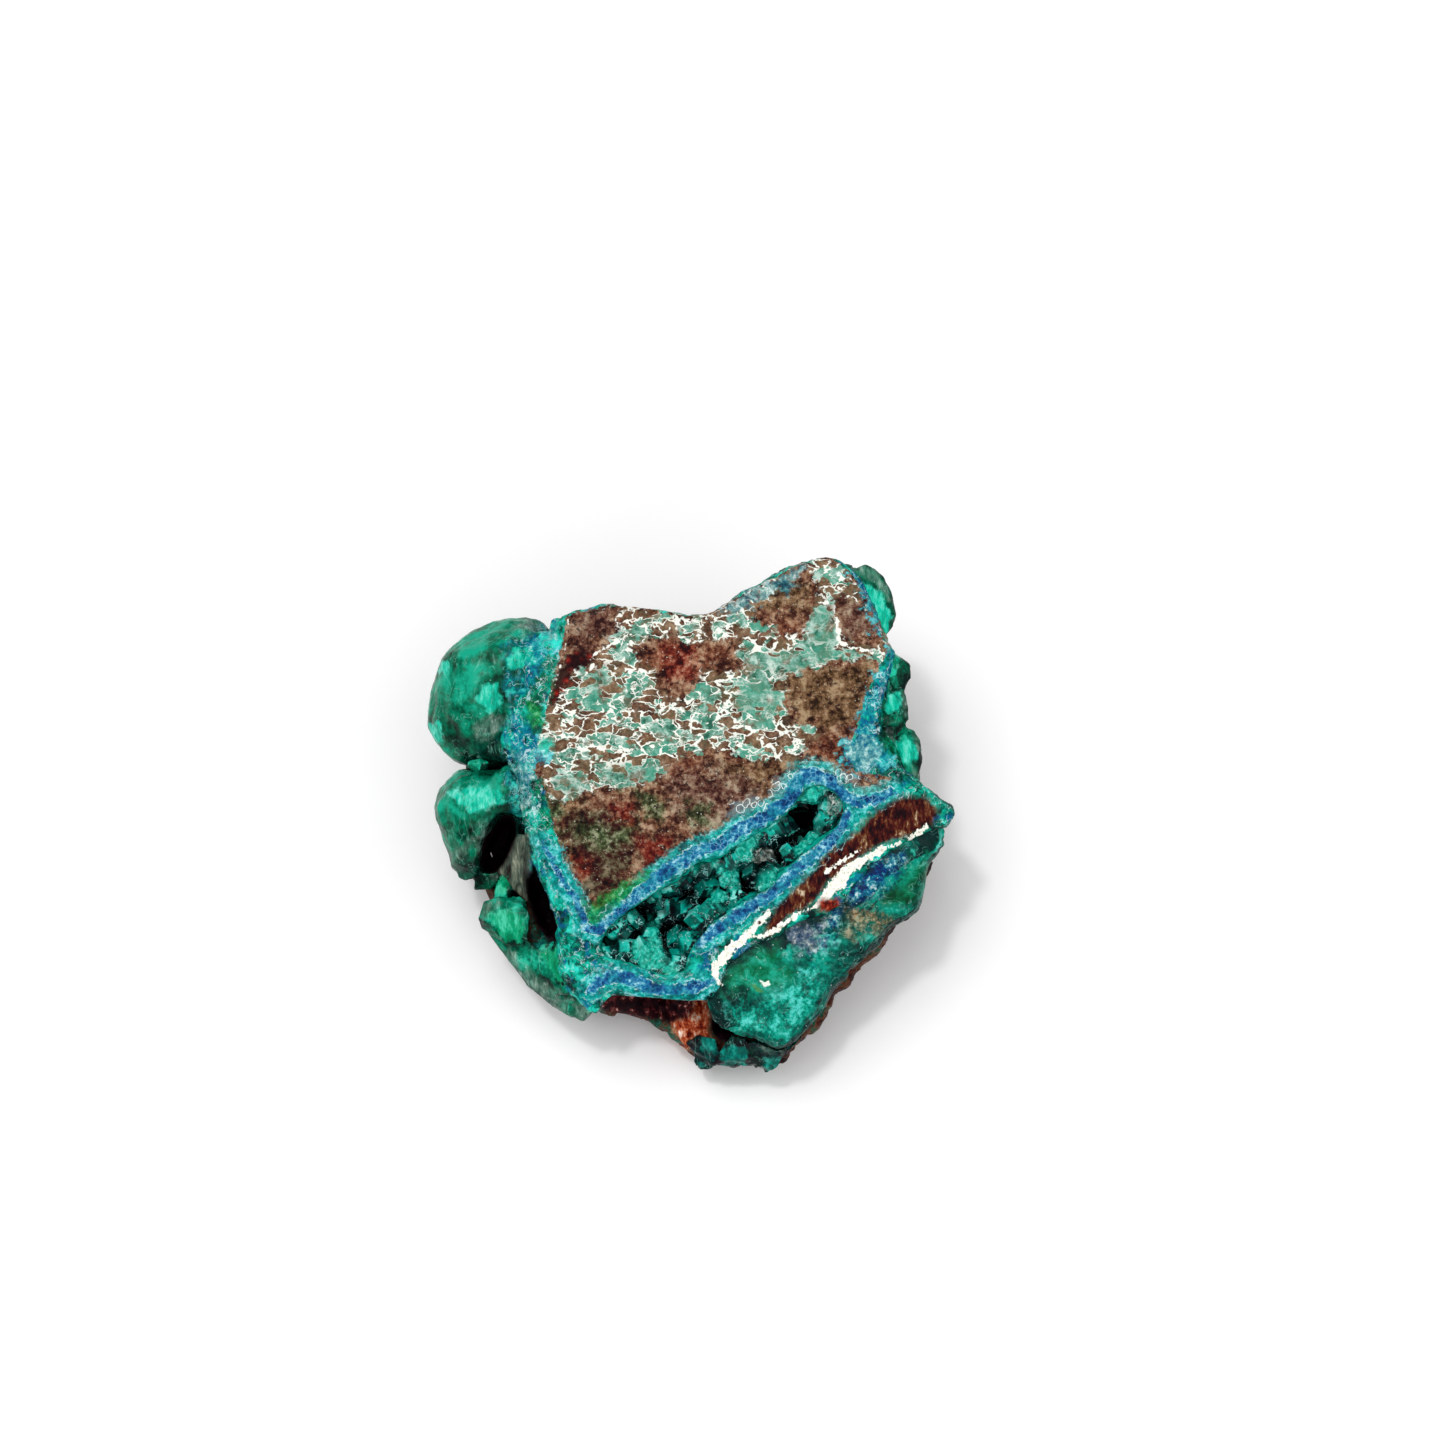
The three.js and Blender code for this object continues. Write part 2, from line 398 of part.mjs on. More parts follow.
// One dioptase crystal: a six-sided prism whose end is three rhombs that meet in a point.
function crystal([across, up, out, radius, rootAcross, rootUp], bottom, turn) {
  const tip = new THREE.Vector3(across, up, out);
  const root = new THREE.Vector3(across + rootAcross, up + rootUp, bottom);
  const length = tip.distanceTo(root);
  const points = [new THREE.Vector3(0, 0, length)];
  for (let i = 0; i < 6; i++) {
    const x = radius * Math.cos(i * Math.PI / 3);
    const y = radius * Math.sin(i * Math.PI / 3);
    const fall = radius * (i % 2 ? 0.5 : 1);
    points.push(new THREE.Vector3(x, y, length - fall), new THREE.Vector3(x * 0.9, y * 0.9, 0));
  }
  const axis = tip.clone().sub(root).normalize();
  const lean = new THREE.Quaternion().setFromUnitVectors(new THREE.Vector3(0, 0, 1), axis);
  const spin = new THREE.Quaternion().setFromAxisAngle(new THREE.Vector3(0, 0, 1), turn);
  const placed = points.map((p) => p.applyQuaternion(spin).applyQuaternion(lean).add(root));
  return solidOf(new ConvexGeometry(placed));
}

// A blocky crystal: the hull of points spread evenly over an oval, each nudged a little.
function block([across, up, out, radiusAcross, radiusUp, radiusOut, turn], seed, grow = 0) {
  const corners = 15;
  const random = seeded(seed);
  const angle = THREE.MathUtils.degToRad(turn);
  const points = Array.from({ length: corners }, (_, i) => {
    const z = 1 - 2 * (i + 0.5) / corners;
    const theta = i * 2.4 + 0.9 * random();
    const ring = Math.sqrt(1 - z * z);
    const x = 1.06 * (radiusAcross + grow) * ring * Math.cos(theta);
    const y = 1.06 * (radiusUp + grow) * ring * Math.sin(theta);
    return new THREE.Vector3(
      across + x * Math.cos(angle) - y * Math.sin(angle),
      up + x * Math.sin(angle) + y * Math.cos(angle),
      out + (radiusOut + grow) * z,
    );
  });
  return solidOf(new ConvexGeometry(points));
}

// The hull of a crystal's front corners and of the same corners drawn in at its back. `grow` thickens it all
// round.
function flatFaced(corners, back, grow = 0) {
  const middle = [0, 1].map((i) => corners.reduce((sum, corner) => sum + corner[i], 0) / corners.length);
  const drawnIn = corners.map((corner) => [
    ...middle.map((centre, i) => centre + BACK_SHARE * (corner[i] - centre)), back,
  ]);
  const half = 0.75 * grow;
  const signs = grow ? [-1, 1] : [0];
  const points = [...corners, ...drawnIn].flatMap(([across, up, out]) => (
    signs.flatMap((x) => signs.flatMap((y) => signs.map((z) => (
      new THREE.Vector3(across + x * half, up + y * half, out + z * half)
    ))))
  ));
  return solidOf(new ConvexGeometry(points));
}

function flatFacedGroup(list, back, grow = 0) {
  return joined(list.map((corners) => flatFaced(corners, back, grow)));
}

function swellings(list, grow) {
  return joined(list.map(([across, up, out, radiusAcross, radiusUp, radiusOut]) => solidOf(
    new THREE.SphereGeometry(1, 12, 7)
      .scale(radiusAcross + grow, radiusUp + grow, radiusOut + grow)
      .translate(across, up, out),
  )));
}

// A rounded body drawn by its widest outline: the share of the outline left at each level, and that level.
function pillow(outline, hub, levels, grow = 0) {
  const widest = levels.find(([share]) => share === 1)[1];
  const grown = outset(outline, grow);
  return loft(levels.map(([share, out]) => grown.map(([across, up]) => [
    hub[0] + (across - hub[0]) * share, hub[1] + (up - hub[1]) * share, out + grow * Math.sign(out - widest),
  ])), hub);
}

// Levels of a dome over its widest outline, with a shallower bowl under it.
function domeLevels(top, middle, bottom) {
  const over = [15, 38, 58, 76].map((degrees) => THREE.MathUtils.degToRad(degrees));
  const under = [62, 30, 8].map((degrees) => THREE.MathUtils.degToRad(degrees));
  return [
    ...over.map((angle) => [Math.sin(angle), middle + (top - middle) * Math.cos(angle)]),
    [1, middle],
    ...under.map((angle) => [Math.sin(angle), middle + (bottom - middle) * Math.cos(angle)]),
  ];
}

function upperLobe(grow) {
  const dome = pillow(UPPER_LOBE, [-20.4, 12.4], domeLevels(-1.2, -7.5, -15), grow);
  return dome.add(swellings(UPPER_LOBE_SWELLINGS, grow));
}

function lowerLobe(grow) {
  const dome = pillow(LOWER_LOBE, [-21.2, -0.4], domeLevels(-2.2, -8, -14), grow);
  return dome
    .add(swellings(LOWER_LOBE_SWELLINGS, grow))
    .add(flatFacedGroup(LOWER_LOBE_PRISMS, CRYSTAL_BACK.lobe, grow))
    .subtract(shaft(LEFT_SHAFTS[0], -grow));
}

function fan(grow) {
  return flatFacedGroup(FAN_CRYSTALS, CRYSTAL_BACK.fan, grow).subtract(shaft(LEFT_SHAFTS[1], -grow));
}

// The slab's top is nearly level with the cut face and rounds down to its broken edge.
function greenSlab(grow) {
  const grown = outset(GREEN_SLAB, grow);
  const level = (inset, out) => withHeight(outset(grown, -inset), out);
  return loft([
    level(1.0, grow - 0.4), level(0.45, grow - 0.7), level(0.1, grow - 1.5), level(0, -2.6), level(0, -4),
    level(0.2, GAP - 5.05 - grow),
  ], [13.8, -13.2]);
}

// Splits a slice off the walls along a plane that starts just under the ledge's top.
function broken(stone, [direction, undercut]) {
  const [theta, phi] = [direction, undercut].map((degrees) => THREE.MathUtils.degToRad(degrees));
  const facing = new THREE.Vector3(
    Math.cos(theta) * Math.cos(phi), Math.sin(theta) * Math.cos(phi), -Math.sin(phi),
  );
  const reach = LEDGE_EDGE.map(([across, up, depth]) => (
    facing.dot(new THREE.Vector3(across, up, -depth - 1.5))
  ));
  return stone.trimByPlane(facing.clone().negate().toArray(), -Math.max(...reach));
}

function ore(grow) {
  const walled = BREAKS.reduce(broken, ledge(grow));
  const fin = flatFaced(FIN, CRYSTAL_BACK.fin, grow);
  const stone = faceBlock(grow).add(walled).add(fin).subtract(cleft(grow));
  const holes = [CLEFT_HOLE, ...LEFT_SHAFTS, FOOT_SHAFT].map((hole) => shaft(hole, -grow));
  return holes.reduce((left, hole) => left.subtract(hole), stone);
}

// Small crystals between the named ones, spread over the cleft's floor.
function fillerCrystals(count) {
  const random = seeded(31);
  return Array.from({ length: count }, () => {
    const along = random();
    const across = -8 + 22.5 * along;
    const middle = -13.2 + 14.2 * along;
    const up = middle + 4.4 * (random() - 0.5);
    const tip = -4.6 + 1.6 * random();
    return [across, up, tip, 0.5 + 0.5 * random(), random() - 0.5, random() - 0.5];
  });
}

function cleftCrust() {
  const random = seeded(71);
  const floor = cleft(GAP).trimByPlane([0, 0, -1], CLEFT_FLOOR);
  const grown = [...CLEFT_CRYSTALS, ...fillerCrystals(22)].map((place) => (
    crystal(place, -CLEFT_FLOOR - 0.6, random() * Math.PI / 3)
  ));
  return joined([floor, ...grown]).intersect(cleft(GAP)).subtract(shaft(CLEFT_HOLE, GAP));
}

const toPart = new THREE.Matrix4()
  .makeTranslation(CENTRE_SHIFT.x, CENTRE_SHIFT.y, FACE_HEIGHT)
  .multiply(new THREE.Matrix4().makeRotationX(FACE_TILT));

// Everything below the resting plane is sawn off.
function sawn(solid) {
  const size = 200;
  const underground = new THREE.BoxGeometry(size, size, size).translate(0, 0, -size / 2);
  const tilted = solidOf(geometryOf(solid).applyMatrix4(toPart));
  return mainBody(tilted.subtract(solidOf(underground)));
}

const COLOURS = {
  ore: { color: 0x5a3326, roughness: 0.55, metalness: 0.0 },
  dioptase: { color: 0x0b7f5e, roughness: 0.22, metalness: 0.0 },
  crust: { color: 0x12a083, roughness: 0.18, metalness: 0.0 },
  pale: { color: 0x2fd0a8, roughness: 0.25, metalness: 0.0 },
};

const onTheRight = (crystals) => (grow) => flatFacedGroup(crystals, CRYSTAL_BACK.right, grow);

// Later pieces are cut clear of the ones before them.
const PIECES = [
  ['ore_matrix', ore, 'ore'],
  ['upper_left_lobe', upperLobe, 'dioptase'],
  ['lower_left_lobe', lowerLobe, 'dioptase'],
  ['green_slab', greenSlab, 'dioptase'],
  ['upper_right_crystals', onTheRight(UPPER_RIGHT_CRYSTALS), 'dioptase'],
  ['right_rim_crystals', onTheRight(RIGHT_RIM_CRYSTALS), 'dioptase'],
  ['fan_crystals', fan, 'dioptase'],
  ['foot_crystals', (grow) => flatFacedGroup(FOOT_CRYSTALS, CRYSTAL_BACK.foot, grow), 'dioptase'],
  ['perched_crystal', (grow) => block(PERCHED_CRYSTAL, 501, grow), 'pale'],
];

const specimen = new THREE.Group();

function place(name, solid, colour) {
  const mesh = new THREE.Mesh(geometryOf(sawn(solid)), new THREE.MeshStandardMaterial(COLOURS[colour]));
  mesh.name = name;
  specimen.add(mesh);
}

const clearances = [];
for (const [name, build, colour] of PIECES) {
  const whole = build(0);
  const cut = clearances.reduce((left, other) => left.subtract(other), whole);
  place(name, mainBody(cut), colour);
  clearances.push(build(GAP));
}
place('cleft_crust', mainBody(cleftCrust()), 'crust');

export default specimen;
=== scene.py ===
"""A dioptase specimen on a pale studio floor, seen square to its polished cut face.

Shapes and zones are given in the cut face's own frame, in millimetres: across, up the face, and out of it.
"""
import math

import bmesh
import bpy
import numpy as np
from mathutils import Matrix, Vector, noise
from mathutils.bvhtree import BVHTree
from mathutils.kdtree import KDTree


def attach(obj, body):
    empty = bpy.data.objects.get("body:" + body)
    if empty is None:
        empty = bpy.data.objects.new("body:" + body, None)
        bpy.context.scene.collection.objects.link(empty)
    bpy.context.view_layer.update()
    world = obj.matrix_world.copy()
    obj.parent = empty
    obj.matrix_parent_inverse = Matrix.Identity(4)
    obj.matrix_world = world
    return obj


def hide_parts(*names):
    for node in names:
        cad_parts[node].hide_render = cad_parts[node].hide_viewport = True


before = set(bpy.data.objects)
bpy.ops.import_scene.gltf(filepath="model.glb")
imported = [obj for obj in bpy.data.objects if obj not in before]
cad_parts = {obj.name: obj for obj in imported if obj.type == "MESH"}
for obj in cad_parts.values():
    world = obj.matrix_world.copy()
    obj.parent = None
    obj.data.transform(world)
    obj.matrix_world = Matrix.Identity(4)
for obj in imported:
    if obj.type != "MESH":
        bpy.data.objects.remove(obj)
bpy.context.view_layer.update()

MM = 0.001
TILT = math.radians(20)  # lean of the cut face
FACE_AT = Vector((0.15, -1.7, 19.0))  # the face frame's origin in the part's frame, mm
TURN = Matrix.Rotation(TILT, 4, "X")
TO_PART = Matrix.Scale(MM, 4) @ Matrix.Translation(FACE_AT) @ TURN
FROM_PART = TO_PART.inverted()

# ---------------------------------------------------------------- grain and shape of the pieces, mm
WELD_DISTANCE = 0.003
ORE_VOXEL = 0.28
LOBE_VOXEL = 0.2
CRYSTAL_VOXEL = 0.13
DRUSE_VOXEL = 0.11
WALL_CRYSTAL_SPACING = 1.0
DRUSE_CRYSTALS = 40
DRUSE_RADIUS = 0.4
SEAM_REACH = 1.6  # a piece's surface nearer the ore than this is drawn to it,
SEAM_CLOSED = 0.6  # onto it when nearer than this,
SEAM_OVERLAP = 0.08  # and this far into it
SLAB_TOP = -0.05  # the slab stays this far below the cut face
SEAM_PLATE = (-0.12, -2.4)  # top and bottom of the part of the slab that meets the cut face
LOBE_ROUNDS = 160  # of evening out: a smooth lobe
SLAB_ROUNDS = 20
EVEN_SHARE = 0.5  # of the way to the middle of its neighbours, that each round moves a point,
BACK_SHARE = -0.53  # or every other round where a piece keeps its size
FOOT_BELOW = -1.6  # the lower lobe keeps flat faces below this height
BASE_LAYER = 0.25  # ore lower than this is its flat base
CHIP_DEPTH = 0.5  # along the border of the cut face
FACE_CRYSTALS = 0.55  # height of the crystals round the polished part of the cut face
OUTSIDE = -9.0  # depth in a zone that a piece doesn't have

# ---------------------------------------------------------------- camera and light
CAMERA_AXIS = (3.25, 9.45)  # point of the face that the camera looks straight at
CAMERA_DISTANCE = 541.9
SENSOR_MM = 36.0
LENS_MM = 135.0
SKY = 0.46
SUNS = [  # name, the direction it comes from (across, up, out), spread in degrees, strength
    ("key", (-0.34, 0.5, 1.0), 44, 1.1),
    ("fill", (0.5, -0.3, 0.9), 80, 0.95),
    ("glint", (-0.22, 0.4, 0.9), 6, 0.6),
]
LIT_SIDE = np.array((-0.62, 0.62, 0.48))  # faces turned this way are painted paler, as painted light
FLOOR_SIZE = 3.0
FLOOR_BELOW = 0.00002  # so that the base and the floor don't share a plane

# ---------------------------------------------------------------- zones of colour, face frame, mm
FIELD = [  # the polished ore inside the blue bands
    (-12.3, 20.2), (-7.5, 21.4), (-2, 20.5), (0, 20.2), (1.7, 20.4), (5, 22.2), (10.5, 25.2), (13.8, 26.2),
    (15.9, 24.6), (18.4, 20.9), (20.2, 16.9), (18.7, 14.6), (17.6, 12.1), (16.9, 9.5), (15.8, 6.5),
    (16.5, 4.7), (20.2, 3.9), (20, 2.8), (16.9, 1.9), (15, 3.2), (13.5, 4.5), (11.3, 4.6), (10.2, 3.2),
    (8, 1.5), (5.8, 0.8), (4.3, -0.5), (1.7, -2), (-0.9, -3.9), (-3.8, -5.5), (-8.3, -8.7), (-10.1, -9.8),
    (-10.9, -9), (-11.6, -6.8), (-12.7, -3.9), (-13.8, -0.5), (-14.6, 2.8), (-15.7, 4.7), (-15.5, 6.5),
    (-14.6, 9.5), (-14.2, 11.7), (-13.5, 14.6), (-12.7, 17.6),
]
LACE = [
    (-12.7, 20.8), (-7.5, 21.4), (0, 20.2), (5, 22.2), (10.5, 25.2), (13.8, 26.2), (15.9, 24.6),
    (18.4, 20.9), (20.2, 16.9), (18.7, 14.6), (17, 10), (13.6, 8.4), (12, 7.2), (10.2, 5.4), (6.5, 5.8),
    (4.3, 6.5), (0, 6.5), (-3, 3.9), (-6, 2.8), (-9.8, 2.8), (-12.7, 1.3), (-14.2, 2.1), (-14.9, 5),
    (-16.2, 8), (-14.2, 11.7), (-13, 16),
]
BROWN_PATCHES = [  # in the lace
    [(9.5, 10.9), (9.5, 13.2), (10.2, 14.3), (11.7, 14.6), (14.7, 15.6), (18.7, 15.8), (18.7, 14.6),
     (18.4, 12.4), (16.9, 9.5), (15.8, 6.5), (15.4, 4.3), (13.2, 5), (10.2, 5.8), (12.1, 7.2), (13.6, 8),
     (12.4, 9.1), (10.2, 9.1)],
    [(-5.3, 17.2), (-3.1, 18), (0.6, 17.6), (4.3, 17.8), (5, 14.6), (3.6, 14.3), (1.3, 15), (0.6, 13.2),
     (-0.9, 11.7), (-2.7, 12.4), (-3.5, 14.6), (-5, 15.8)],
    [(6, 21.3), (8.4, 21.7), (8.4, 23.9), (11, 25.4), (12.3, 24.3), (12.8, 22), (11.3, 18), (9.5, 18.3),
     (7.3, 19.5), (6.2, 19.8)],
    [(14.7, 22), (17.3, 21.7), (18.7, 19.1), (20, 16.9), (18, 17.1), (15.4, 17.6), (14.7, 19.5)],
    [(-12.2, 20.6), (-7.5, 21.2), (-6.8, 19.1), (-8.3, 17.6), (-9, 16.5), (-10.5, 15), (-11.6, 14.6),
     (-13.1, 12), (-13.8, 11.3), (-14.2, 12.4), (-12.7, 15.8)],
]
CLEAR_TEAL = [  # in the lace, with few lines
    [(5.4, 16.1), (9.9, 16.5), (14.7, 16.9), (18.7, 16.5), (18.4, 15.8), (14.7, 15.8), (11.3, 14.8),
     (10.2, 14.1), (7.3, 14.6), (5.4, 14.6)], [(4.7, 13.2), (9.2, 13.4), (9.2, 10.4), (5, 10.6)],
    [(11.6, 21.2), (14.6, 21.9), (14.4, 17.2), (11.4, 17)],
    [(-9, 5), (-3.1, 5.4), (-3.4, 3.2), (-8.6, 3.4)],
    [(-10.9, 15), (-8.3, 15.2), (-8.3, 12.4), (-10.7, 12.6)],
    [(-13.9, 4.3), (-10.4, 4.1), (-10.6, 2.2), (-13.6, 2.4)],
]
BANDS = [  # centre lines, with the half width at each point
    [(-10.5, -11.1, 0.35), (-9, -11.4, 0.45), (-7.2, -9.8, 0.55), (-5.3, -7.9, 0.55), (-3.5, -6.4, 0.6),
     (-1.6, -5, 0.65), (0.6, -3.5, 0.6), (2.8, -2.8, 0.55), (5, -1.3, 0.6), (7.3, -0.2, 0.6),
     (9.5, 1.3, 0.65), (10.4, 2.6, 0.7), (11, 3.9, 0.7), (12.4, 4.3, 0.65), (13.9, 3.6, 0.7),
     (15, 2.2, 0.6), (16.9, 1.5, 0.5), (18.4, 1.7, 0.5), (20.2, 2.5, 0.35)],
    [(0.9, -12.6, 0.4), (2.5, -11.3, 0.55), (4.3, -10.1, 0.5), (6.5, -8.7, 0.5), (8.7, -7.4, 0.5),
     (10.2, -5.7, 0.45), (12.1, -4.1, 0.5), (13.6, -2.8, 0.55), (15, -1.3, 0.5), (15.8, 0.2, 0.35)],
    [(-10.1, -17.4, 0.3), (-9, -16.4, 0.5), (-7.2, -15.8, 0.6), (-5.4, -16.4, 0.6), (-3.8, -17.2, 0.5),
     (-1.6, -17.3, 0.5), (0.6, -17, 0.5), (2.2, -16.4, 0.3)],
    [(-15, -2.4, 0.1), (-13.8, -4.2, 0.2), (-12.7, -6.5, 0.3), (-11.6, -7.9, 0.25), (-10.5, -10.5, 0.3)],
]
WHITE_SEAMS = [  # lines with half widths
    [(14.3, 21.5, 0.15), (14.7, 19.5, 0.2), (14.9, 17.4, 0.25), (16.5, 16.9, 0.2), (18.2, 16.5, 0.2),
     (19.8, 16.2, 0.1)], [(11.4, 21.2, 0.1), (14.3, 21.6, 0.2)],
    [(-12.2, 20.2, 0.05), (-12.4, 16.9, 0.06), (-14.1, 11.8, 0.07), (-14.6, 10.4, 0.05)],
    [(-7.4, 20.2, 0.1), (-7.2, 17.6, 0.18), (-9.8, 16.1, 0.15), (-9.8, 14.9, 0.12), (-10.9, 13.7, 0.14),
     (-10.5, 12.8, 0.1)],
]
VEINS = [  # the white vein and its branches, with half widths
    [(2.2, -15.3, 0.2), (3.2, -14.2, 0.4), (4.4, -12.8, 0.45), (5.8, -12, 0.3), (7.4, -11.9, 0.15),
     (8.6, -11.3, 0.2), (9.8, -10.3, 0.22), (11.2, -9.5, 0.12), (12.6, -8.9, 0.2), (13.4, -8.1, 0.4),
     (14.3, -7.1, 0.6), (15.2, -6.2, 0.6), (15.7, -5.3, 0.45), (16.8, -4.6, 0.35), (18.1, -3.9, 0.3),
     (19.6, -3.1, 0.25), (20.9, -2.6, 0.12)],
    [(5.2, -12.3, 0.35), (6.4, -11.1, 0.35), (7.3, -10.1, 0.2), (7.9, -9.4, 0.02)],
    [(13.6, -5.5, 0.06), (14.8, -4.7, 0.14), (16, -3.9, 0.1), (17.6, -2.9, 0.02)],
    [(22, -2.1, 0.08), (22.9, -1.5, 0.22), (23.7, -0.9, 0.12)],
    [(2.4, -14.9, 0.25), (2.6, -16.2, 0.3), (3.4, -17, 0.1)],
]
ORE_ZONES = {
    "olive": [
        [(9, 14.6), (11.7, 15), (18.6, 15.6), (18.6, 12.4), (16.9, 9.5), (13.6, 8.4), (12.4, 9.1),
         (10, 9.2)], [(6, 21.3), (8.4, 23.4), (11, 25.2), (12.6, 23), (11.2, 20.4), (8, 20)],
        [(-14.9, 1.8), (-11.6, 2.2), (-9.4, 0.6), (-12.4, -0.6), (-14.6, -0.4)],
        [(1.6, 6), (9.6, 5), (8, 2), (3.4, 2.6)]],
    "ruddy": [
        [(10.6, 8), (14.6, 8.2), (15.8, 6.4), (15, 4.6), (11.4, 5)],
        [(-3.4, 18), (4.4, 17.4), (3, 14.4), (-4.6, 14.8)],
        [(6.4, 19.8), (10.8, 19.6), (11.6, 17.8), (7, 18)], [(-3, 6.8), (1.2, 6.4), (1, 3.2), (-2.6, 3.4)]],
    "mauve": [
        [(-3.2, 4.6), (2.4, 5.4), (7.6, 3.2), (5.6, 0.9), (1.2, -2), (-1.6, 0.6)],
        [(-12.4, 21), (-7.6, 21.4), (-7.9, 18), (-11.6, 16.6)],
        [(14.7, 22), (17.8, 21.4), (18.4, 18), (15.2, 18)]],
    "green": [
        [(-11.4, -0.6), (-8, -1.2), (-5.8, -1), (-6, -2.8), (-9, -3.2), (-11, -2.6)],
        [(-5.3, 2.6), (-2.9, 2.6), (-2.6, -0.4), (-4.8, -0.8)],
        [(-0.5, 1.6), (2.3, 1.2), (1.8, -1), (-0.2, -0.8)],
        [(-9.8, 5.6), (-6.4, 4.8), (-6.6, 2.8), (-9.6, 3.2)],
        [(-14.2, 2.2), (-13.2, 2), (-11.4, -5), (-12.6, -4)],
        [(2.4, 14.2), (4.6, 14), (4.4, 12), (2.6, 12.2)]],
    "dark": [
        [(-13.6, 0.2), (-8.4, 1.4), (-5, 0.4), (-5.6, -5.6), (-9, -8.4), (-11.6, -7.6)],
        [(-5.8, -1.4), (-1.5, -1.6), (-0.8, -4), (-3.6, -5.6), (-6, -4.6)],
        [(-13.9, 13.2), (-12.6, 16.4), (-9.4, 16), (-10.6, 14), (-12.8, 11.4)]],
    "red": [
        [(-3.2, 17.4), (0.8, 17.4), (0.6, 13.8), (-2.4, 13.6)],
        [(-13.8, 13), (-11.8, 15.6), (-9.7, 15.4), (-12.2, 12)],
        [(-8.2, 1.3), (-5.7, 1.2), (-5.9, -0.5), (-8, -0.5)],
        [(-5.6, -1.9), (-1.6, -2), (-2, -4.8), (-4.8, -5)],
        [(-6.9, 20.5), (-4, 20.4), (-4.2, 19), (-6.6, 19)],
        [(-12.2, -3.6), (-9.8, -4.2), (-10, -6), (-11.4, -6.2)]],
    "beads": [[(-14.2, 11.4), (-13.5, 14.4), (-11.6, 16.4), (-9.2, 16.2), (-10.6, 13.8), (-12.2, 11.6)]],
    "blue": [
        [(18.4, 13.5), (17.4, 11.3), (16.7, 9.1), (15.6, 7.5), (15.6, 5.4), (16.9, 4.3), (19.1, 4.5),
         (20.2, 6), (18.9, 7.5), (18.9, 10.4), (20.2, 12.6), (21.3, 15.2), (20.4, 16.9)],
        [(-17.6, 17.6), (-15.4, 17.8), (-14.2, 16.4), (-14.8, 14.6), (-16, 12.6), (-17.4, 12.8),
         (-16.8, 14.8)], [(-18.4, 11.2), (-16.7, 10.4), (-16.4, 8), (-15.8, 5.6), (-17.2, 5.4), (-18.4, 8)],
        [(-15.7, 6.8), (-14.2, 6.8), (-14.2, 5.6), (-15.6, 5.6)],
        [(-14.6, -2.2), (-13.7, -2.4), (-12.1, -6.4), (-11.6, -8.2), (-12.6, -7.6), (-14.2, -4)],
        [(16.4, 24.4), (17.6, 23.2), (18.9, 21.4), (19.3, 19.6), (18.9, 18.6), (18.3, 20.4), (17.1, 22.6)]],
    "pale": [
        [(3, 21), (8.6, 24), (11.6, 25.2), (10, 22.6), (8.4, 22.6), (6, 20.8), (4.2, 20)],
        [(-14.8, 19.4), (-13.2, 19.2), (-13.1, 17.8), (-14.6, 17.6)],
        [(-17.7, 6.4), (-16.1, 6.4), (-15.6, 4), (-15.9, 0.8), (-17.2, 0.6), (-17.7, 3)],
        [(15.9, 7.7), (18.4, 7.7), (19, 6.4), (18.2, 4.7), (16.4, 4.7), (15.9, 6)]],
    "emerald": [
        [(-16.6, 15.4), (-13.6, 16), (-13.9, 12.2), (-15.4, 9.6), (-16.4, 11)],
        [(-16, 4), (-14.9, 3.8), (-13.6, -1), (-14.8, -1.6)], [(19.2, 10), (21, 10), (21.6, 6), (19.4, 6)]],
    "moss": [
        [(-11.2, -8.2), (-11, -10.2), (-9.6, -10.9), (-7.8, -9.4), (-6, -7.9), (-4.2, -6.4), (-4, -5.4),
         (-6.4, -6.4), (-8.6, -7.7), (-10, -8.6)],
        [(-16.5, 11.6), (-14.9, 11.4), (-14.6, 9.4), (-15.6, 8.8), (-16.6, 9.6)]],
    "shine": [
        [(-18.2, 16.8), (-15.8, 17), (-15.4, 15.3), (-18, 15.2)],
        [(-15.2, 8), (-13.8, 7.9), (-13.7, 6.6), (-15, 6.5)],
        [(-16.4, 0.4), (-15.2, 0.2), (-14.6, -3.2), (-15.6, -3.4)]],
    "slope": [
        [(-12.2, 21), (-21, 21), (-21, 5), (-18, 0), (-15.8, -6), (-15.6, -12), (-16, -17), (-12, -21),
         (-9, -20), (-10, -17.6), (-12, -11), (-13, -4), (-14.6, 3), (-13.8, 12)],
        [(14, 26.4), (19, 26), (22, 20), (23, 12), (24.6, 4), (20, 3), (18, 8), (18, 12), (19, 16),
         (17, 22)]],
    "rings": [
        [(3.8, 0), (4.6, 1.6), (6.4, 2), (7.8, 1.4), (6.8, 0.6), (5, -0.2)],
        [(8, 1.9), (8.4, 4), (10.2, 4.6), (10.2, 3.2), (9.2, 1.8)], [(14.6, 4.6), (17.4, 4), (16, 3)]],
    "strip": [
        [(7.2, -11.8), (8.6, -8.8), (11.1, -6.5), (13.6, -3.5), (16.1, -1.8), (18.7, 0.6), (21, 2.1),
         (23.5, 2.1), (25, 0.6), (24.3, -0.9), (21.7, -2), (18.4, -3.1), (15.8, -5), (13.6, -6.8),
         (12.8, -8.3), (10.2, -9.8), (8, -12)]],
    "nodule": [[(12.6, -8.4), (13.4, -8), (15, -8.2), (15.2, -9), (14, -9.8), (12.8, -9.4)]],
    "recess": [[(-9, -17.8), (-3, -17.8), (0.2, -18), (0.6, -20), (-2, -21), (-6, -20.6), (-9, -19.9)]],
    "fibres": [[(-3, -18), (1.4, -18), (2.2, -20.4), (1.6, -23.4), (-0.6, -23.6), (-2, -21.4)]],
    "fin": [[(-16.2, -1.7), (-16.1, -9), (-19.6, -6), (-18.8, -3.6), (-17.4, -1.7)]],
}
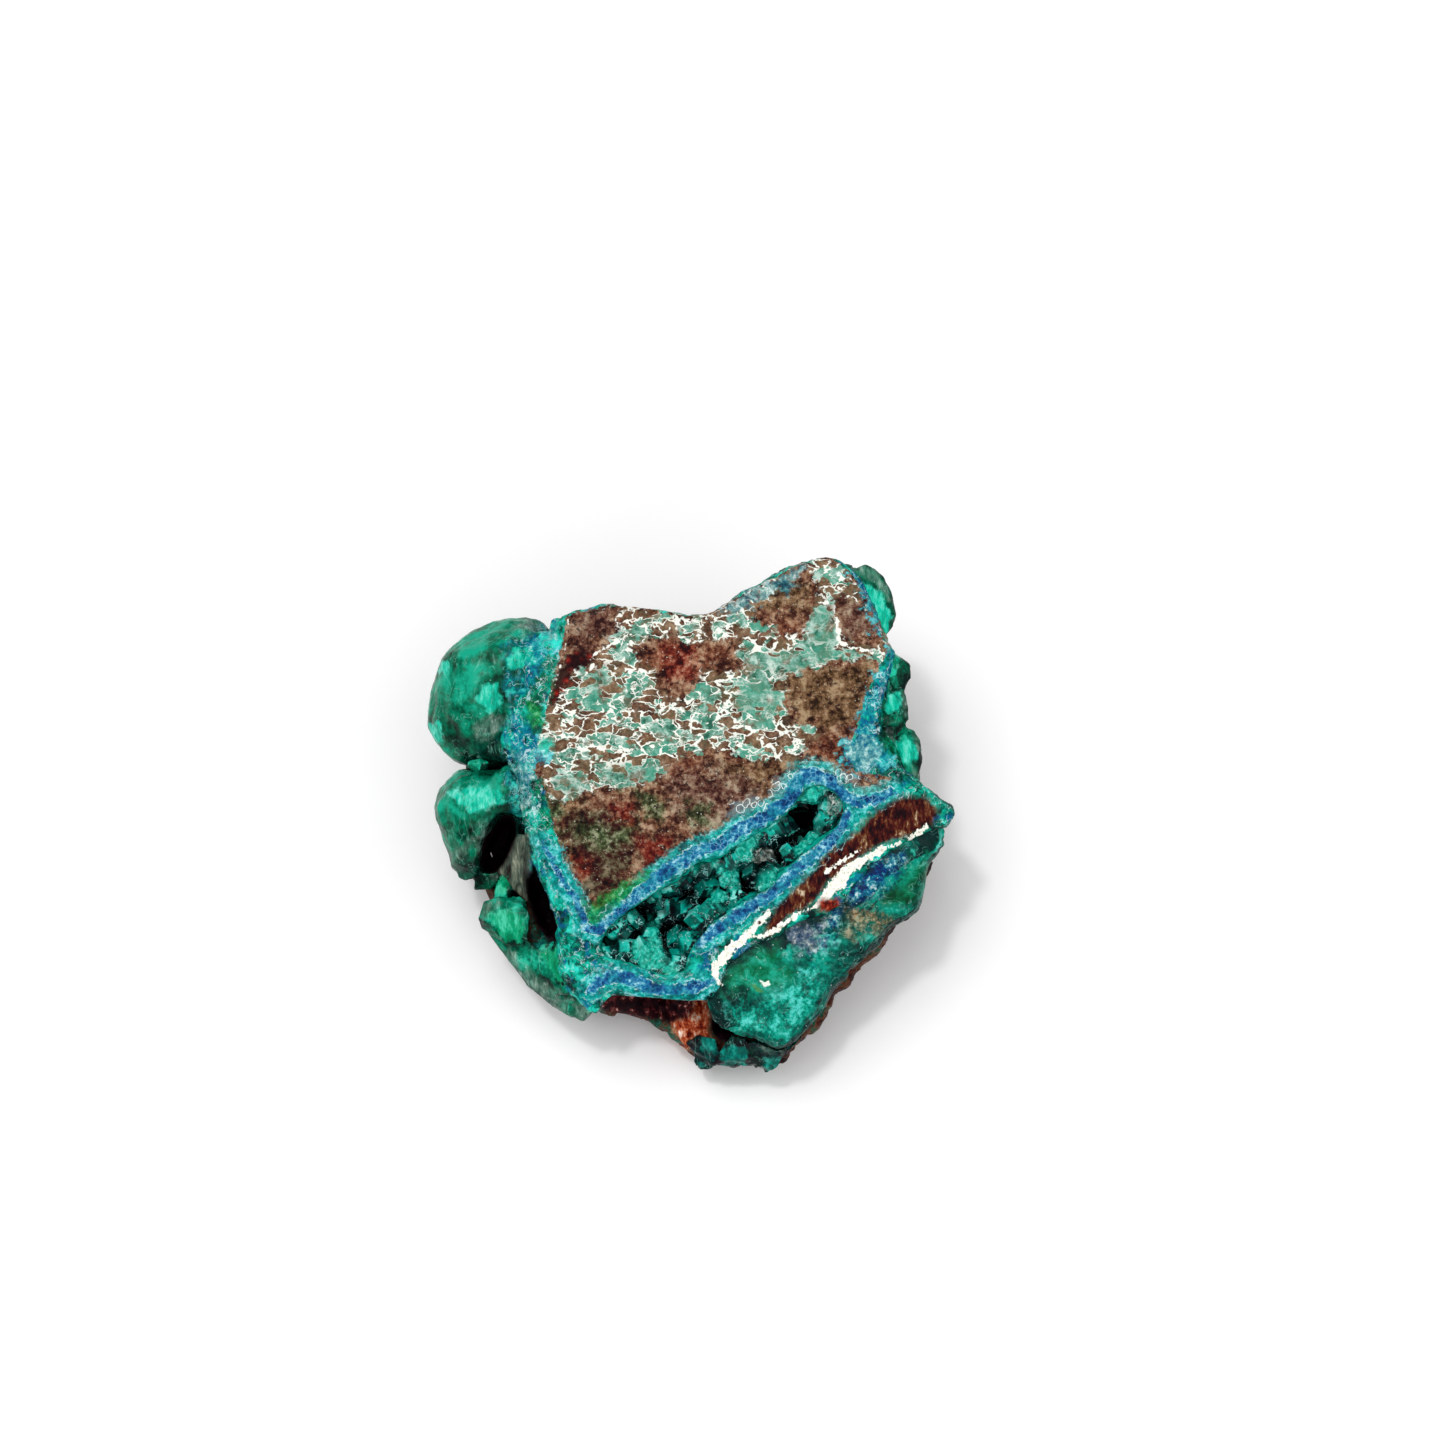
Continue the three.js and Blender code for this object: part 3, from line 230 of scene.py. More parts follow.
CLEFT = [  # its mouth
    (-8.4, -14.1), (-6.8, -14.6), (-4.5, -15.3), (-2.6, -15.9), (-0.6, -15.5), (0, -13.8), (0.7, -12.3),
    (2, -10.8), (3.8, -9.5), (5.8, -8.1), (7.8, -7.3), (9.4, -5.5), (11, -3.9), (13, -2.5), (14.8, -0.9),
    (15.5, 1.1), (14.6, 2.5), (13, 3.3), (11.6, 2.9), (10.7, 1.7), (9.8, 0.5), (7.8, -0.9), (5.5, -2.4),
    (3.2, -3.8), (1, -4.4), (-1, -5.9), (-3, -7.3), (-5, -8.5), (-6.8, -9.8), (-8.4, -11.3), (-9.2, -12.9),
]
SHAFTS = [  # across, up, two radii, turn in degrees, and how far down the painted shade begins
    (-19.5, -2.9, 1.5, 3.4, -22, 2), (-14.9, -9.3, 1.2, 3.9, 17, 2), (11.4, -0.5, 0.9, 0.7, 8, 4),
    (3.4, -21.4, 1.2, 1.6, 30, 4),
]

# Patches on the crystals: bright ones of painted light, grey ones of painted reflection, dark ones of darker
# tone and painted shade; and crust on the lobes.
LOBE_TONES = {
    "crust": [
        [(-19.2, 17), (-16, 19.4), (-13.5, 20.6), (-12.6, 15), (-14.6, 8), (-15.2, 3), (-15.8, -1.4),
         (-17.4, -1.4), (-18, 2), (-18.8, 6), (-18.6, 9.5), (-18, 11.5), (-18.6, 14)]],
    "glow": [
        [(-20.9, 13), (-19.4, 13.3), (-19.1, 11.4), (-20.2, 10.6), (-21.1, 11.6)],
        [(-18.4, 15.2), (-17.6, 16.6), (-15.6, 16.9), (-15.2, 15.6), (-16.8, 15)],
        [(-25.2, 15.6), (-24.4, 15.4), (-24.6, 14.4), (-25.4, 14.6)],
        [(-26.4, 9), (-25.4, 9.6), (-25.2, 7.6), (-26, 7.4)],
        [(-18.6, 8.6), (-17.2, 8.4), (-17.2, 7), (-18.4, 7)],
        [(-24.6, 2.4), (-20.4, 3), (-18.6, 1.6), (-22, 0.6)]],
    "grey": [
        [(-19.2, 19.6), (-17.6, 20.1), (-14.4, 20), (-14.4, 18.6), (-16.2, 18), (-17.8, 18.8)],
        [(-24.1, -3.9), (-23.5, -3.1), (-21.9, -2.2), (-22.2, -3.2), (-23.8, -5)],
        [(-21.8, 9.2), (-19.6, 10.4), (-18.3, 9.6), (-19.6, 8.2), (-21.6, 8)],
        [(-21.6, -3), (-20.9, -1), (-20.3, -1.2), (-21.2, -3.4), (-19.4, -6.2), (-20, -6.4)]],
    "dark": [
        [(-24, 7.8), (-20, 8.4), (-17.8, 9.2), (-17.4, 7), (-18.6, 5.2), (-22, 5.4)],
        [(-20.4, 0.4), (-18.2, 1.4), (-17, 0), (-17.6, -3), (-20.4, -5), (-21.2, -3)],
        [(-24.2, -4.2), (-23.4, -6.4), (-20.6, -6.2), (-20.4, -4.8), (-22.6, -4.6)]],
}
FAN_TONES = {
    "glow": [
        [(-20.3, -9.8), (-18.6, -9.4), (-16.8, -10.4), (-17, -12.4), (-18.6, -12.4)],
        [(-14.8, -13.9), (-13.5, -13.2), (-11.4, -13.9), (-11.6, -16.4), (-13, -16.6)],
        [(-19.6, -6.3), (-18.4, -6.4), (-18.6, -7.6), (-19.6, -7.7)]],
    "grey": [
        [(-20.8, -8.6), (-19.4, -8.15), (-19.2, -9.1), (-20.5, -10), (-21.3, -10.2)],
        [(-18.5, -13.2), (-14.9, -16.5), (-12, -18.2), (-12.6, -20), (-16, -18.2), (-18.6, -15.4)],
        [(-11.7, -18.3), (-10.1, -18.3), (-9.6, -20.8), (-11.6, -20.8)]],
    "dark": [
        [(-16.4, -11.8), (-14.6, -11.8), (-13.7, -13.2), (-15.2, -13.9), (-16.4, -13.2)],
        [(-12.7, -17.1), (-11.1, -17.1), (-11.3, -18.5), (-12.5, -18.3)],
        [(-16.6, -8), (-15.4, -9), (-14.8, -11.6), (-16, -11.4), (-16.9, -9.6)]],
}
FOOT_TONES = {
    "glow": [
        [(1.2, -22.6), (2.4, -21.8), (2.6, -23.4), (1.4, -23.6)],
        [(3.2, -23.4), (5.4, -23.2), (5.4, -25), (3.4, -25.2)],
        [(7.7, -24.6), (9, -24.4), (8.8, -25.8), (7.7, -26)]],
    "grey": [[(6.8, -22.2), (10.2, -22.2), (9.6, -23.8), (7.2, -23.8)]],
    "dark": [
        [(2.2, -20.6), (4.4, -20.8), (4.8, -22.6), (3, -22.8)],
        [(5.6, -22.8), (7, -23), (7.4, -25.2), (6, -25.2)]],
}
RIM_TONES = {
    "glow": [
        [(17.4, 23.2), (19.2, 22.4), (20.1, 20), (19.6, 18.6), (18.6, 20.2)],
        [(19.8, 12.4), (20.8, 12.4), (21, 10.6), (19.9, 10.6)],
        [(20.8, 7.6), (22.2, 7.6), (22.6, 6), (21, 5.2)]],
    "grey": [
        [(15.9, 25.6), (18.4, 25), (20.2, 22.6), (20.5, 21.2), (19.6, 21.6), (18.2, 24), (16, 24.8)],
        [(21.4, 12.5), (21.9, 12), (21.9, 10), (21.4, 10)],
        [(22.4, 8.2), (23.1, 8), (23.2, 6.6), (22.6, 6.8)],
        [(18.8, 8.6), (20.4, 8.6), (20.4, 6.2), (18.8, 6.2)],
        [(22.4, 4.8), (23.2, 4.8), (23.2, 3.8), (22.4, 3.8)]],
    "dark": [
        [(19.1, 11.6), (19.8, 11.6), (19.8, 10.8), (19.2, 10.8)],
        [(19.8, 18.2), (20.6, 18), (20.4, 17.3), (19.6, 17.4)]],
}
CLEFT_TONES = {
    "glow": [
        [(4.2, -1.8), (6.8, -1.6), (6.4, -4.2), (4.6, -4.8)],
        [(2.9, -5.3), (4.8, -5.4), (4.6, -7.2), (3.2, -7.2)],
        [(1.8, -7.2), (3.7, -7.3), (3.4, -8.7), (1.9, -8.6)],
        [(-4.6, -10.6), (-3.1, -10.8), (-3, -13.4), (-4, -13.4)],
        [(-2.9, -15), (-0.9, -15), (-0.9, -16.3), (-2.8, -16.2)],
        [(10.4, -1.8), (12.8, -1.6), (12.6, -4), (10.6, -3.8)],
        [(-5.8, -12.6), (-3, -12.8), (-2.6, -15.4), (-5.4, -15)],
        [(11.8, 3.2), (13.4, 3), (12.8, 0.9), (11.8, 1.2)],
        [(6.9, -5.4), (8.8, -5.4), (8.6, -7.3), (6.9, -7.2)],
        [(0.2, -3.8), (3, -3.2), (2.6, -5), (0, -5.6)]],
    "grey": [
        [(6.1, -3.3), (8.9, -3.2), (8.7, -4.6), (6.3, -4.7)],
        [(13.6, 2.4), (15, 1.6), (14.8, 0), (13.6, 0.4)]],
    "dark": [
        [(-8.4, -11.9), (-6.8, -11.9), (-6.8, -13.6), (-8.3, -13.5)],
        [(-0.7, -7.1), (0.6, -7), (0.6, -8.9), (-0.7, -9)],
        [(5, -7.2), (6, -7.4), (9.1, -4.2), (8.8, -3.6), (6.4, -5.2)],
        [(-2.8, -9), (-1.2, -8.8), (-1.2, -11.6), (-2.6, -11.8)],
        [(-6.4, -7.8), (-3.6, -7.6), (-3.4, -10), (-6, -10.2)],
        [(10.6, 0.1), (12.3, 0.2), (12.4, -1.1), (10.6, -1.2)],
        [(0.8, -4.5), (2.2, -4.5), (2.2, -5.8), (0.8, -5.8)]],
}

SLAB_ZONES = {
    "blue": [
        [(14.8, -8.2), (16.4, -8.8), (18.6, -8), (20, -6.8), (21.2, -5), (21.6, -3.4), (20.2, -3.4),
         (18, -4.6), (16, -6.4)],
        [(11.6, -13.8), (13, -12), (13.8, -9.8), (15, -9.6), (14.2, -12.2), (12.8, -14.4)]],
    "purple": [
        [(9.2, -12), (10, -13.6), (12, -13.9), (13.8, -12.6), (13.6, -10.6), (11.8, -10.2), (10, -10.8)]],
    "tan": [
        [(15.4, -9.6), (16.8, -8.7), (19.6, -9), (20.4, -10.6), (18.6, -12.2), (16.2, -12.6),
         (15.2, -11.4)]],
    "chip": [[(7, -16.3), (7.3, -16.5), (7.9, -16.4), (8, -16.8), (7.5, -17), (7.2, -16.8)]],
    "moss": [[(6, -16.7), (6.7, -16.9), (7.3, -17.5), (6.6, -17.3)]],
    "green": [
        [(3.2, -15.6), (6, -13.4), (9.2, -12), (9.4, -14.4), (11.6, -15.2), (10.4, -17.2), (6, -17.6),
         (3.4, -18.2)],
        [(17.6, -5.8), (20.8, -6.6), (22, -4.6), (23.6, -3.6), (24.4, -5), (22.4, -9.4), (19.4, -9.4)]],
    "bright": [
        [(3, -18.6), (6.5, -18.6), (10, -17), (11, -15), (13, -15.6), (13.4, -18.4), (11, -21.4),
         (8.8, -22.8), (5, -21.6)], [(14.8, -10.4), (16, -9.8), (17, -10.8), (16, -11.6), (15, -11.2)]],
    "dark": [
        [(13.2, -17.8), (14.2, -15.6), (13.6, -13.2), (15.6, -12.6), (18.6, -11.8), (20.4, -10.8),
         (19, -12.8), (17.3, -14.3), (15.9, -15.5), (14.9, -16.8), (13.8, -18.2)]],
}
# The part of the slab that meets the cut face: first along the face's border, then back along the slab.
SLAB_SEAM = [
    (1.2, -17.7), (2.6, -16.7), (3.6, -14.3), (5.9, -12.5), (8.9, -11.1), (10.9, -9.9), (12.9, -9.3),
    (14.9, -8.3), (15.9, -6.5), (18, -4.2), (20.9, -2.3), (23.4, -1.3), (25.2, -0.6), (25.4, -2.8),
    (22, -4.6), (19.6, -6.2), (18, -8.6), (16.6, -10.6), (14.6, -11.6), (11.2, -12.4), (8, -14.2),
    (6.2, -16), (5.8, -18.4), (5, -21.2), (3.4, -21.3), (1.9, -19.6),
]


# ---------------------------------------------------------------- outlines and distances
def segment_distance(points, line):
    """Distance of each point to an open line whose points may carry a half width, which is taken off."""
    best = np.full(len(points), 1e9)
    for start, end in zip(line, line[1:]):
        a, b = np.array(start[:2], float), np.array(end[:2], float)
        along = b - a
        t = np.clip(((points - a) @ along) / (along @ along), 0, 1)
        away = np.linalg.norm(points - a - t[:, None] * along, axis=1)
        if len(start) > 2:
            away = away - (start[2] + (end[2] - start[2]) * t)
        best = np.minimum(best, away)
    return best


def nearest(points, lines):
    return np.min([segment_distance(points, line) for line in lines], axis=0)


def inside(points, polygon):
    x, y = points[:, 0], points[:, 1]
    result = np.zeros(len(points), bool)
    for (x0, y0), (x1, y1) in zip(polygon, polygon[1:] + polygon[:1]):
        crosses = (y0 > y) != (y1 > y)
        result ^= crosses & (x < (x1 - x0) * (y - y0) / (y1 - y0 + 1e-12) + x0)
    return result


def depth_in(points, *polygons):
    """How far each point lies inside the polygons, in mm; negative outside."""
    best = np.full(len(points), -1e9)
    for polygon in polygons:
        edge = segment_distance(points, polygon + polygon[:1])
        best = np.maximum(best, np.where(inside(points, polygon), edge, -edge))
    return best


def smooth(values, low, high):
    t = np.clip((values - low) / (high - low), 0, 1)
    return t * t * (3 - 2 * t)


# ---------------------------------------------------------------- meshes, worked on in the face frame
def face_mesh(node):
    """A welded copy of a CAD node in the face frame, in mm, as (points, triangles)."""
    bm = bmesh.new()
    bm.from_mesh(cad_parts[node].data)
    bm.transform(FROM_PART)
    bmesh.ops.remove_doubles(bm, verts=bm.verts, dist=WELD_DISTANCE)
    bmesh.ops.triangulate(bm, faces=bm.faces)
    points = np.array([v.co for v in bm.verts])
    bm.verts.index_update()
    triangles = [[v.index for v in f.verts] for f in bm.faces]
    bm.free()
    return points, triangles


def joined(shells):
    """A list of (points, faces) shells as one."""
    points, faces = [], []
    for shell_points, shell_faces in shells:
        faces.extend([len(points) + i for i in face] for face in shell_faces)
        points.extend(map(tuple, shell_points))
    return points, faces


def link(name, data):
    item = bpy.data.objects.new(name, data)
    bpy.context.scene.collection.objects.link(item)
    return item


def remeshed(shells, voxel):
    """One closed skin round a list of (points, faces) shells."""
    points, faces = joined(shells)
    mesh = bpy.data.meshes.new("shells")
    mesh.from_pydata(points, [], faces)
    work = link("shells", mesh)
    modifier = work.modifiers.new("skin", "REMESH")
    modifier.mode = "VOXEL"
    modifier.voxel_size = voxel
    bpy.context.view_layer.update()
    result = bpy.data.meshes.new_from_object(work.evaluated_get(bpy.context.evaluated_depsgraph_get()))
    bpy.data.objects.remove(work)
    bpy.data.meshes.remove(mesh)
    return result


def vectors(items, name, count):
    values = np.empty(count * 3, np.float32)
    items.foreach_get(name, values)
    return values.reshape(-1, 3).astype(float)


def coordinates(mesh):
    return vectors(mesh.vertices, "co", len(mesh.vertices))


def normals(mesh):
    mesh.update()
    return vectors(mesh.vertex_normals, "vector", len(mesh.vertices))


def place(mesh, co):
    mesh.vertices.foreach_set("co", co.astype(np.float32).ravel())
    mesh.update()


def relax(mesh, co, rounds, hold=None, keep_size=False):
    """Evens out a surface: points go towards the middle of their neighbours, and back to keep its size."""
    edges = np.empty(len(mesh.edges) * 2, np.int32)
    mesh.edges.foreach_get("vertices", edges)
    a, b = edges.reshape(-1, 2).T
    ends, others = np.concatenate([a, b]), np.concatenate([b, a])
    count = np.bincount(ends, minlength=len(co))
    for turn in range(rounds):
        middle = np.stack([np.bincount(ends, axis, len(co)) / count for axis in co[others].T], axis=1)
        share = BACK_SHARE if keep_size and turn % 2 else EVEN_SHARE
        new = co + share * (middle - co)
        co = new if hold is None else np.where(hold[:, None], co, new)
    return co


def roughness_field(co, size, octaves=4, seed=0.0):
    offset = Vector((seed, seed, seed))
    return np.array([noise.fractal(Vector(p) / size + offset, 1.0, 2.0, octaves) for p in co])


def facet_field(co, size, seed=0.0, steep=0.8):
    """Height of a crust of tilted crystal faces: each cell of the pattern is one flat face."""
    result = np.empty(len(co))
    offset = Vector((seed, seed * 1.7, seed * 0.6))
    for i, p in enumerate(co):
        q = Vector(p) / size + offset
        distances, centres = noise.voronoi(q)
        centre = centres[0]
        tilt = noise.cell_vector(centre * 7.3) * 2 - Vector((1, 1, 1))
        result[i] = (q - centre).dot(tilt) * steep + 0.5 * (distances[1] - distances[0])
    return result


def attribute(mesh, name, values):
    layer = mesh.attributes.new(name, "FLOAT", "POINT")
    layer.data.foreach_set("value", values.astype(np.float32))


def finished(mesh, name, material, slot, *nodes):
    """Moves a face-frame mesh into the part's frame and makes it the piece that stands for these nodes."""
    mesh.name = name
    mesh.transform(TO_PART)
    mesh.polygons.foreach_set("use_smooth", np.ones(len(mesh.polygons), bool))
    mesh.materials.clear()
    mesh.materials.append(material)
    mesh.update()
    piece = link(name, mesh)
    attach(piece, "root")
    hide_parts(*nodes)


def hexagonal_crystal(tip, root, radius, spin, pointed=0.72):
    """A six-sided prism whose end is three rhombs meeting in a point, as (points, faces)."""
    tip, root = Vector(tip), Vector(root)
    axis = tip - root
    turn = axis.to_track_quat("Z", "Y")
    length = axis.length
    points = [Vector((0, 0, length))]
    for i in range(6):
        angle = i * math.pi / 3 + spin
        x, y = radius * math.cos(angle), radius * math.sin(angle)
        points.append(Vector((x, y, length - radius * pointed * (0.5 if i % 2 else 1.0))))
        points.append(Vector((0.92 * x, 0.92 * y, 0)))
    faces = [[2 * i + 2 for i in range(6)][::-1]]
    for i in range(6):
        j = (i + 1) % 6
        faces.append([2 * i + 2, 2 * j + 2, 2 * j + 1, 2 * i + 1])
        if i % 2:
            faces.append([0, 2 * i - 1, 2 * i + 1])
            faces.append([0, 2 * i + 1, 2 * j + 1])
    return [tuple(turn @ p + root) for p in points], faces


def plate(outline, top, bottom):
    """A flat slab with this outline, as (points, faces)."""
    count = len(outline)
    points = [(x, y, z) for z in (top, bottom) for x, y in outline]
    sides = [[i, count + i, count + (i + 1) % count, (i + 1) % count] for i in range(count)]
    return points, [list(range(count)), list(range(count, 2 * count))[::-1], *sides]


# ---------------------------------------------------------------- materials
def rgb(red, green, blue):
    """A colour given in 0-255 sRGB, as linear RGBA."""
    values = [c / 255 for c in (red, green, blue)]
    return (*[c / 12.92 if c <= 0.04045 else ((c + 0.055) / 1.055) ** 2.4 for c in values], 1.0)


class Material:
    """Short names for building one material out of nodes. Coordinates are the face frame's, in mm."""

    def __init__(self, name):
        self.material = bpy.data.materials.new(name)
        self.material.use_nodes = True
        self.tree = self.material.node_tree
        self.tree.nodes.clear()
        back = TURN.inverted() @ FACE_AT
        where = self.add("TexCoord").outputs["Object"]
        self.at = self.mapped(where, scale=(1 / MM,) * 3, rotation=(-TILT, 0, 0), location=tuple(-back))

    def add(self, kind, inputs=(), **settings):
        """A node with these settings. Its inputs, by name or number, are values or outputs of other nodes."""
        node = self.tree.nodes.new("ShaderNode" + kind)
        for name, value in settings.items():
            setattr(node, name, value)
        for key, value in dict(inputs).items():
            if isinstance(value, bpy.types.NodeSocket):
                self.tree.links.new(value, node.inputs[key])
            elif value is not None:
                node.inputs[key].default_value = value
        return node

    def mapped(self, vector, scale=(1, 1, 1), rotation=(0, 0, 0), location=(0, 0, 0)):
        inputs = {"Vector": vector, "Scale": scale, "Rotation": rotation, "Location": location}
        return self.add("Mapping", inputs).outputs[0]

    def moved(self, offset):
        return self.mapped(self.at, location=(offset, 1.7 * offset, -offset))

    def drawn_out(self, scale, degrees=0, vector=None):
        """Coordinates turned in the face's plane and scaled: a small scale draws a pattern out that way."""
        return self.mapped(vector or self.at, scale=scale, rotation=(0, 0, math.radians(degrees)))

    def math(self, operation, a, b=0.0):
        return self.add("Math", {0: a, 1: b}, operation=operation).outputs[0]

    def sum(self, a, b, share=1.0):
        """a plus a share of (b minus a half)."""
        inputs = {0: b, 1: share, 2: self.math("SUBTRACT", a, 0.5 * share)}
        return self.add("Math", inputs, operation="MULTIPLY_ADD").outputs[0]

    def both(self, *masks):
        result = masks[0]
        for mask in masks[1:]:
            result = self.math("MULTIPLY", result, mask)
        return result

    def step(self, value, low, high, to_low=0.0, to_high=1.0):
        inputs = {"Value": value, "From Min": low, "From Max": high, "To Min": to_low, "To Max": to_high}
        return self.add("MapRange", inputs, interpolation_type="SMOOTHSTEP").outputs[0]

    def near(self, value, level, width, core):
        """A line where the value is at this level."""
        return self.step(self.math("ABSOLUTE", self.math("SUBTRACT", value, level)), width, core)

    def mix(self, share, a, b):
        """Colour a under this share of b. Each is a node's output, or a colour in 0-255 sRGB."""
        a, b = (rgb(*colour) if isinstance(colour, tuple) else colour for colour in (a, b))
        return self.add("Mix", {0: share, 6: a, 7: b}, data_type="RGBA").outputs[2]

    def ramp(self, value, *stops):
        """A scale of colours. Each stop is a position, and a colour in 0-255 sRGB."""
        node = self.add("ValToRGB", {0: value})
        elements = node.color_ramp.elements
        while len(elements) < len(stops):
            elements.new(0.5)
        for element, (position, *colour) in zip(elements, stops):
            element.position = position
            element.color = rgb(*colour)
        return node.outputs[0]

    def noise(self, scale, detail=3.0, rough=0.5, distortion=0.0, at=None):
        inputs = {"Vector": at or self.at, "Scale": scale, "Detail": detail, "Roughness": rough}
        return self.add("TexNoise", {**inputs, "Distortion": distortion}).outputs["Fac"]

    def patches(self, offset, scale, detail, low, high, share=1.0, rough=0.5, least=0.0):
        """A mask of the places where a noise, moved by the offset, is high."""
        return self.step(self.noise(scale, detail, rough, at=self.moved(offset)), low, high, least, share)

    def warped(self, amount, scale, at=None):
        """Coordinates pushed about by noise, by up to half of amount, in mm."""
        at = at or self.at
        push = self.add("TexNoise", {"Vector": at, "Scale": scale, "Detail": 2.0}).outputs["Color"]
        start = self.add("VectorMath", {0: at, 1: (amount / 2,) * 3}, operation="SUBTRACT").outputs[0]
        inputs = {0: push, 1: (amount,) * 3, 2: start}
        return self.add("VectorMath", inputs, operation="MULTIPLY_ADD").outputs[0]

    def cells(self, scale, at=None, feature="F1", randomness=1.0):
        inputs = {"Vector": at or self.at, "Scale": scale, "Randomness": randomness}
        return self.add("TexVoronoi", inputs, feature=feature)

    def borders(self, scale, at, randomness=1.0):
        """Distance to the border of the same cells."""
        return self.cells(scale, at, "DISTANCE_TO_EDGE", randomness).outputs["Distance"]

    def random_of(self, cells):
        return self.add("SeparateColor", {0: cells.outputs["Color"]}).outputs[0]

    def zone(self, name):
        return self.add("Attribute", attribute_name=name).outputs["Fac"]

    def inside(self, zone, edge, ragged, low, high, share=1.0):
        """A mask of a zone, with a border that a noise makes ragged."""
        return self.step(self.sum(self.zone(zone), edge, ragged), low, high, 0.0, share)

    def height(self):
        return self.add("SeparateXYZ", {0: self.at}).outputs[2]

    def threads(self, scale, width, at=None, seed=0.0):
        """Thin wandering lines: the places where a noise passes through its middle value."""
        where = self.mapped(at or self.at, location=(seed, -seed, seed))
        return self.near(self.noise(scale, 2.0, 0.5, 0.6, at=where), 0.5, width, 0.35 * width)

    def specks(self, scale, size, share):
        """Scattered small dots, about 1/scale mm apart; share is the part of them that is there."""
        dots = self.cells(scale)
        there = self.step(self.random_of(dots), 1 - share, 1.02 - share)
        return self.both(self.step(dots.outputs["Distance"], size, 0.5 * size), there)

    def painted(self, colour, zone, edge, ragged, share, source, *shades,
                stops=(0.36, 0.46, 0.55, 0.67), low=-0.4, high=0.5):
        """Colours a zone with a ragged border. The shades follow a noise from its low to its high places."""
        there = self.inside(zone, edge, ragged, low, high, share)
        ramp = self.ramp(source, *((stop, *shade) for stop, shade in zip(stops, shades)))
        return self.mix(there, colour, ramp)

    def strewn(self, colour, tint, strength, *masks):
        """Puts fine marks of another colour on."""
        return self.mix(self.both(*masks, strength), colour, tint)

    def bump(self, height, strength, distance_mm):
        inputs = {"Height": height, "Strength": strength, "Distance": distance_mm * MM}
        return self.add("Bump", inputs).outputs[0]

    def finish(self, colour, roughness, normal=None, **constants):
        inputs = {name.replace("_", " "): number for name, number in constants.items()}
        inputs.update({"Base Color": colour, "Roughness": roughness, "Normal": normal})
        self.add("OutputMaterial", {0: self.add("BsdfPrincipled", inputs).outputs[0]})
        return self.material


def white_web(m, share):
    """A loose web of thin blue-white threads, as a mask."""
    near = m.both(m.threads(0.8, 0.018, m.warped(0.6, 1.6)), m.patches(7, 0.45, 3, 0.48, 0.56))
    far = m.both(m.threads(1.6, 0.02, m.warped(0.4, 2.0), 5.0), m.patches(53, 0.5, 3, 0.52, 0.6), 0.8)
    return m.both(m.math("MAXIMUM", near, far), share)


def teal_crust(m):
    """Crust of small teal crystals: facets of many tones, partly painted light, with blue places and painted
    highlights on bright corners.
    """
    wide = m.cells(0.7, m.warped(1.0, 0.8))
    small = m.cells(2.0, m.warped(0.5, 1.6))
    tone = m.sum(m.sum(m.noise(0.6, 4, 0.6), m.random_of(wide), 0.26), m.random_of(small), 0.2)
    # painted light: facets turned to the lit side are paler
    tone = m.sum(tone, m.zone("facet_tone_and_painted_light"), 0.3)
    colour = m.ramp(tone, (0.26, 0, 34, 32), (0.4, 0, 84, 70), (0.5, 0, 130, 108), (0.6, 0, 170, 146),
                    (0.76, 50, 218, 200))
    colour = m.mix(m.patches(31, 0.5, 4, 0.54, 0.62, 0.7, 0.6), colour, (4, 90, 140))
    # painted highlights: small pale specks
    return m.strewn(colour, (190, 235, 230), 0.55, m.specks(2.8, 0.2, 0.16))


ROCK_STOPS = (0.32, 0.44, 0.55, 0.7)
ROCK_TONES = [  # zone, how ragged its border is, its share, then the dark, middle, light and palest colours
    ("olive", 8.0, 0.8, (38, 24, 8), (90, 66, 40), (122, 94, 66), (158, 134, 100)),
    ("ruddy", 7.0, 0.8, (48, 10, 6), (102, 54, 36), (134, 88, 64), (168, 134, 108)),
    ("mauve", 9.0, 0.8, (40, 12, 12), (92, 56, 46), (118, 92, 76), (160, 144, 124)),
    ("dark", 6.0, 0.92, (12, 0, 4), (56, 14, 14), (66, 62, 42), (112, 102, 80)),
    ("green", 6.0, 0.85, (10, 26, 10), (46, 62, 34), (76, 92, 58), (140, 150, 118)),
    ("red", 4.5, 0.85, (44, 0, 2), (98, 18, 12), (128, 50, 34), (170, 108, 84)),
]


def rock(m):
    """Maroon, red-brown and olive ore: soft patches, a fine grain of pale strokes with tiny painted
    highlights, and small dark hollows.
    """
    coarse = m.noise(1.4, 4, 0.62, at=m.moved(13))
    depth = m.sum(m.sum(m.noise(0.5, 4, 0.6), coarse, 0.8), m.noise(2.9, 5, 0.7), 0.7)
    ragged = m.noise(0.6, 6, 0.68, at=m.moved(5))
    colour = m.ramp(depth, (0.32, 32, 8, 6), (0.44, 86, 48, 34), (0.55, 126, 88, 66), (0.7, 172, 142, 116))
    for zone, raggedness, share, *shades in ROCK_TONES:
        colour = m.painted(colour, zone, ragged, raggedness, share, depth, *shades, stops=ROCK_STOPS,
                           low=-0.7, high=0.9)
    colour = m.mix(m.patches(71, 1.1, 5, 0.53, 0.61, 0.85, 0.7), colour, (30, 4, 5))
    strokes = m.threads(1.9, 0.016, seed=3.0)
    colour = m.strewn(colour, (186, 174, 152), 0.6, strokes, m.step(coarse, 0.52, 0.6))
    # dark red beads, painted paler in the middle as a highlight
    beads = m.cells(1.0, m.warped(0.4, 1.2)).outputs["Distance"]
    colour = m.painted(colour, "beads", ragged, 2.0, 0.9, beads, (150, 30, 18), (84, 2, 4), (24, 0, 4),
                       stops=(0.08, 0.25, 0.5), high=0.3)
    # painted highlights: tiny pale points strewn over the rock
    return m.strewn(colour, (216, 208, 190), 0.75, m.specks(2.6, 0.2, 0.18))


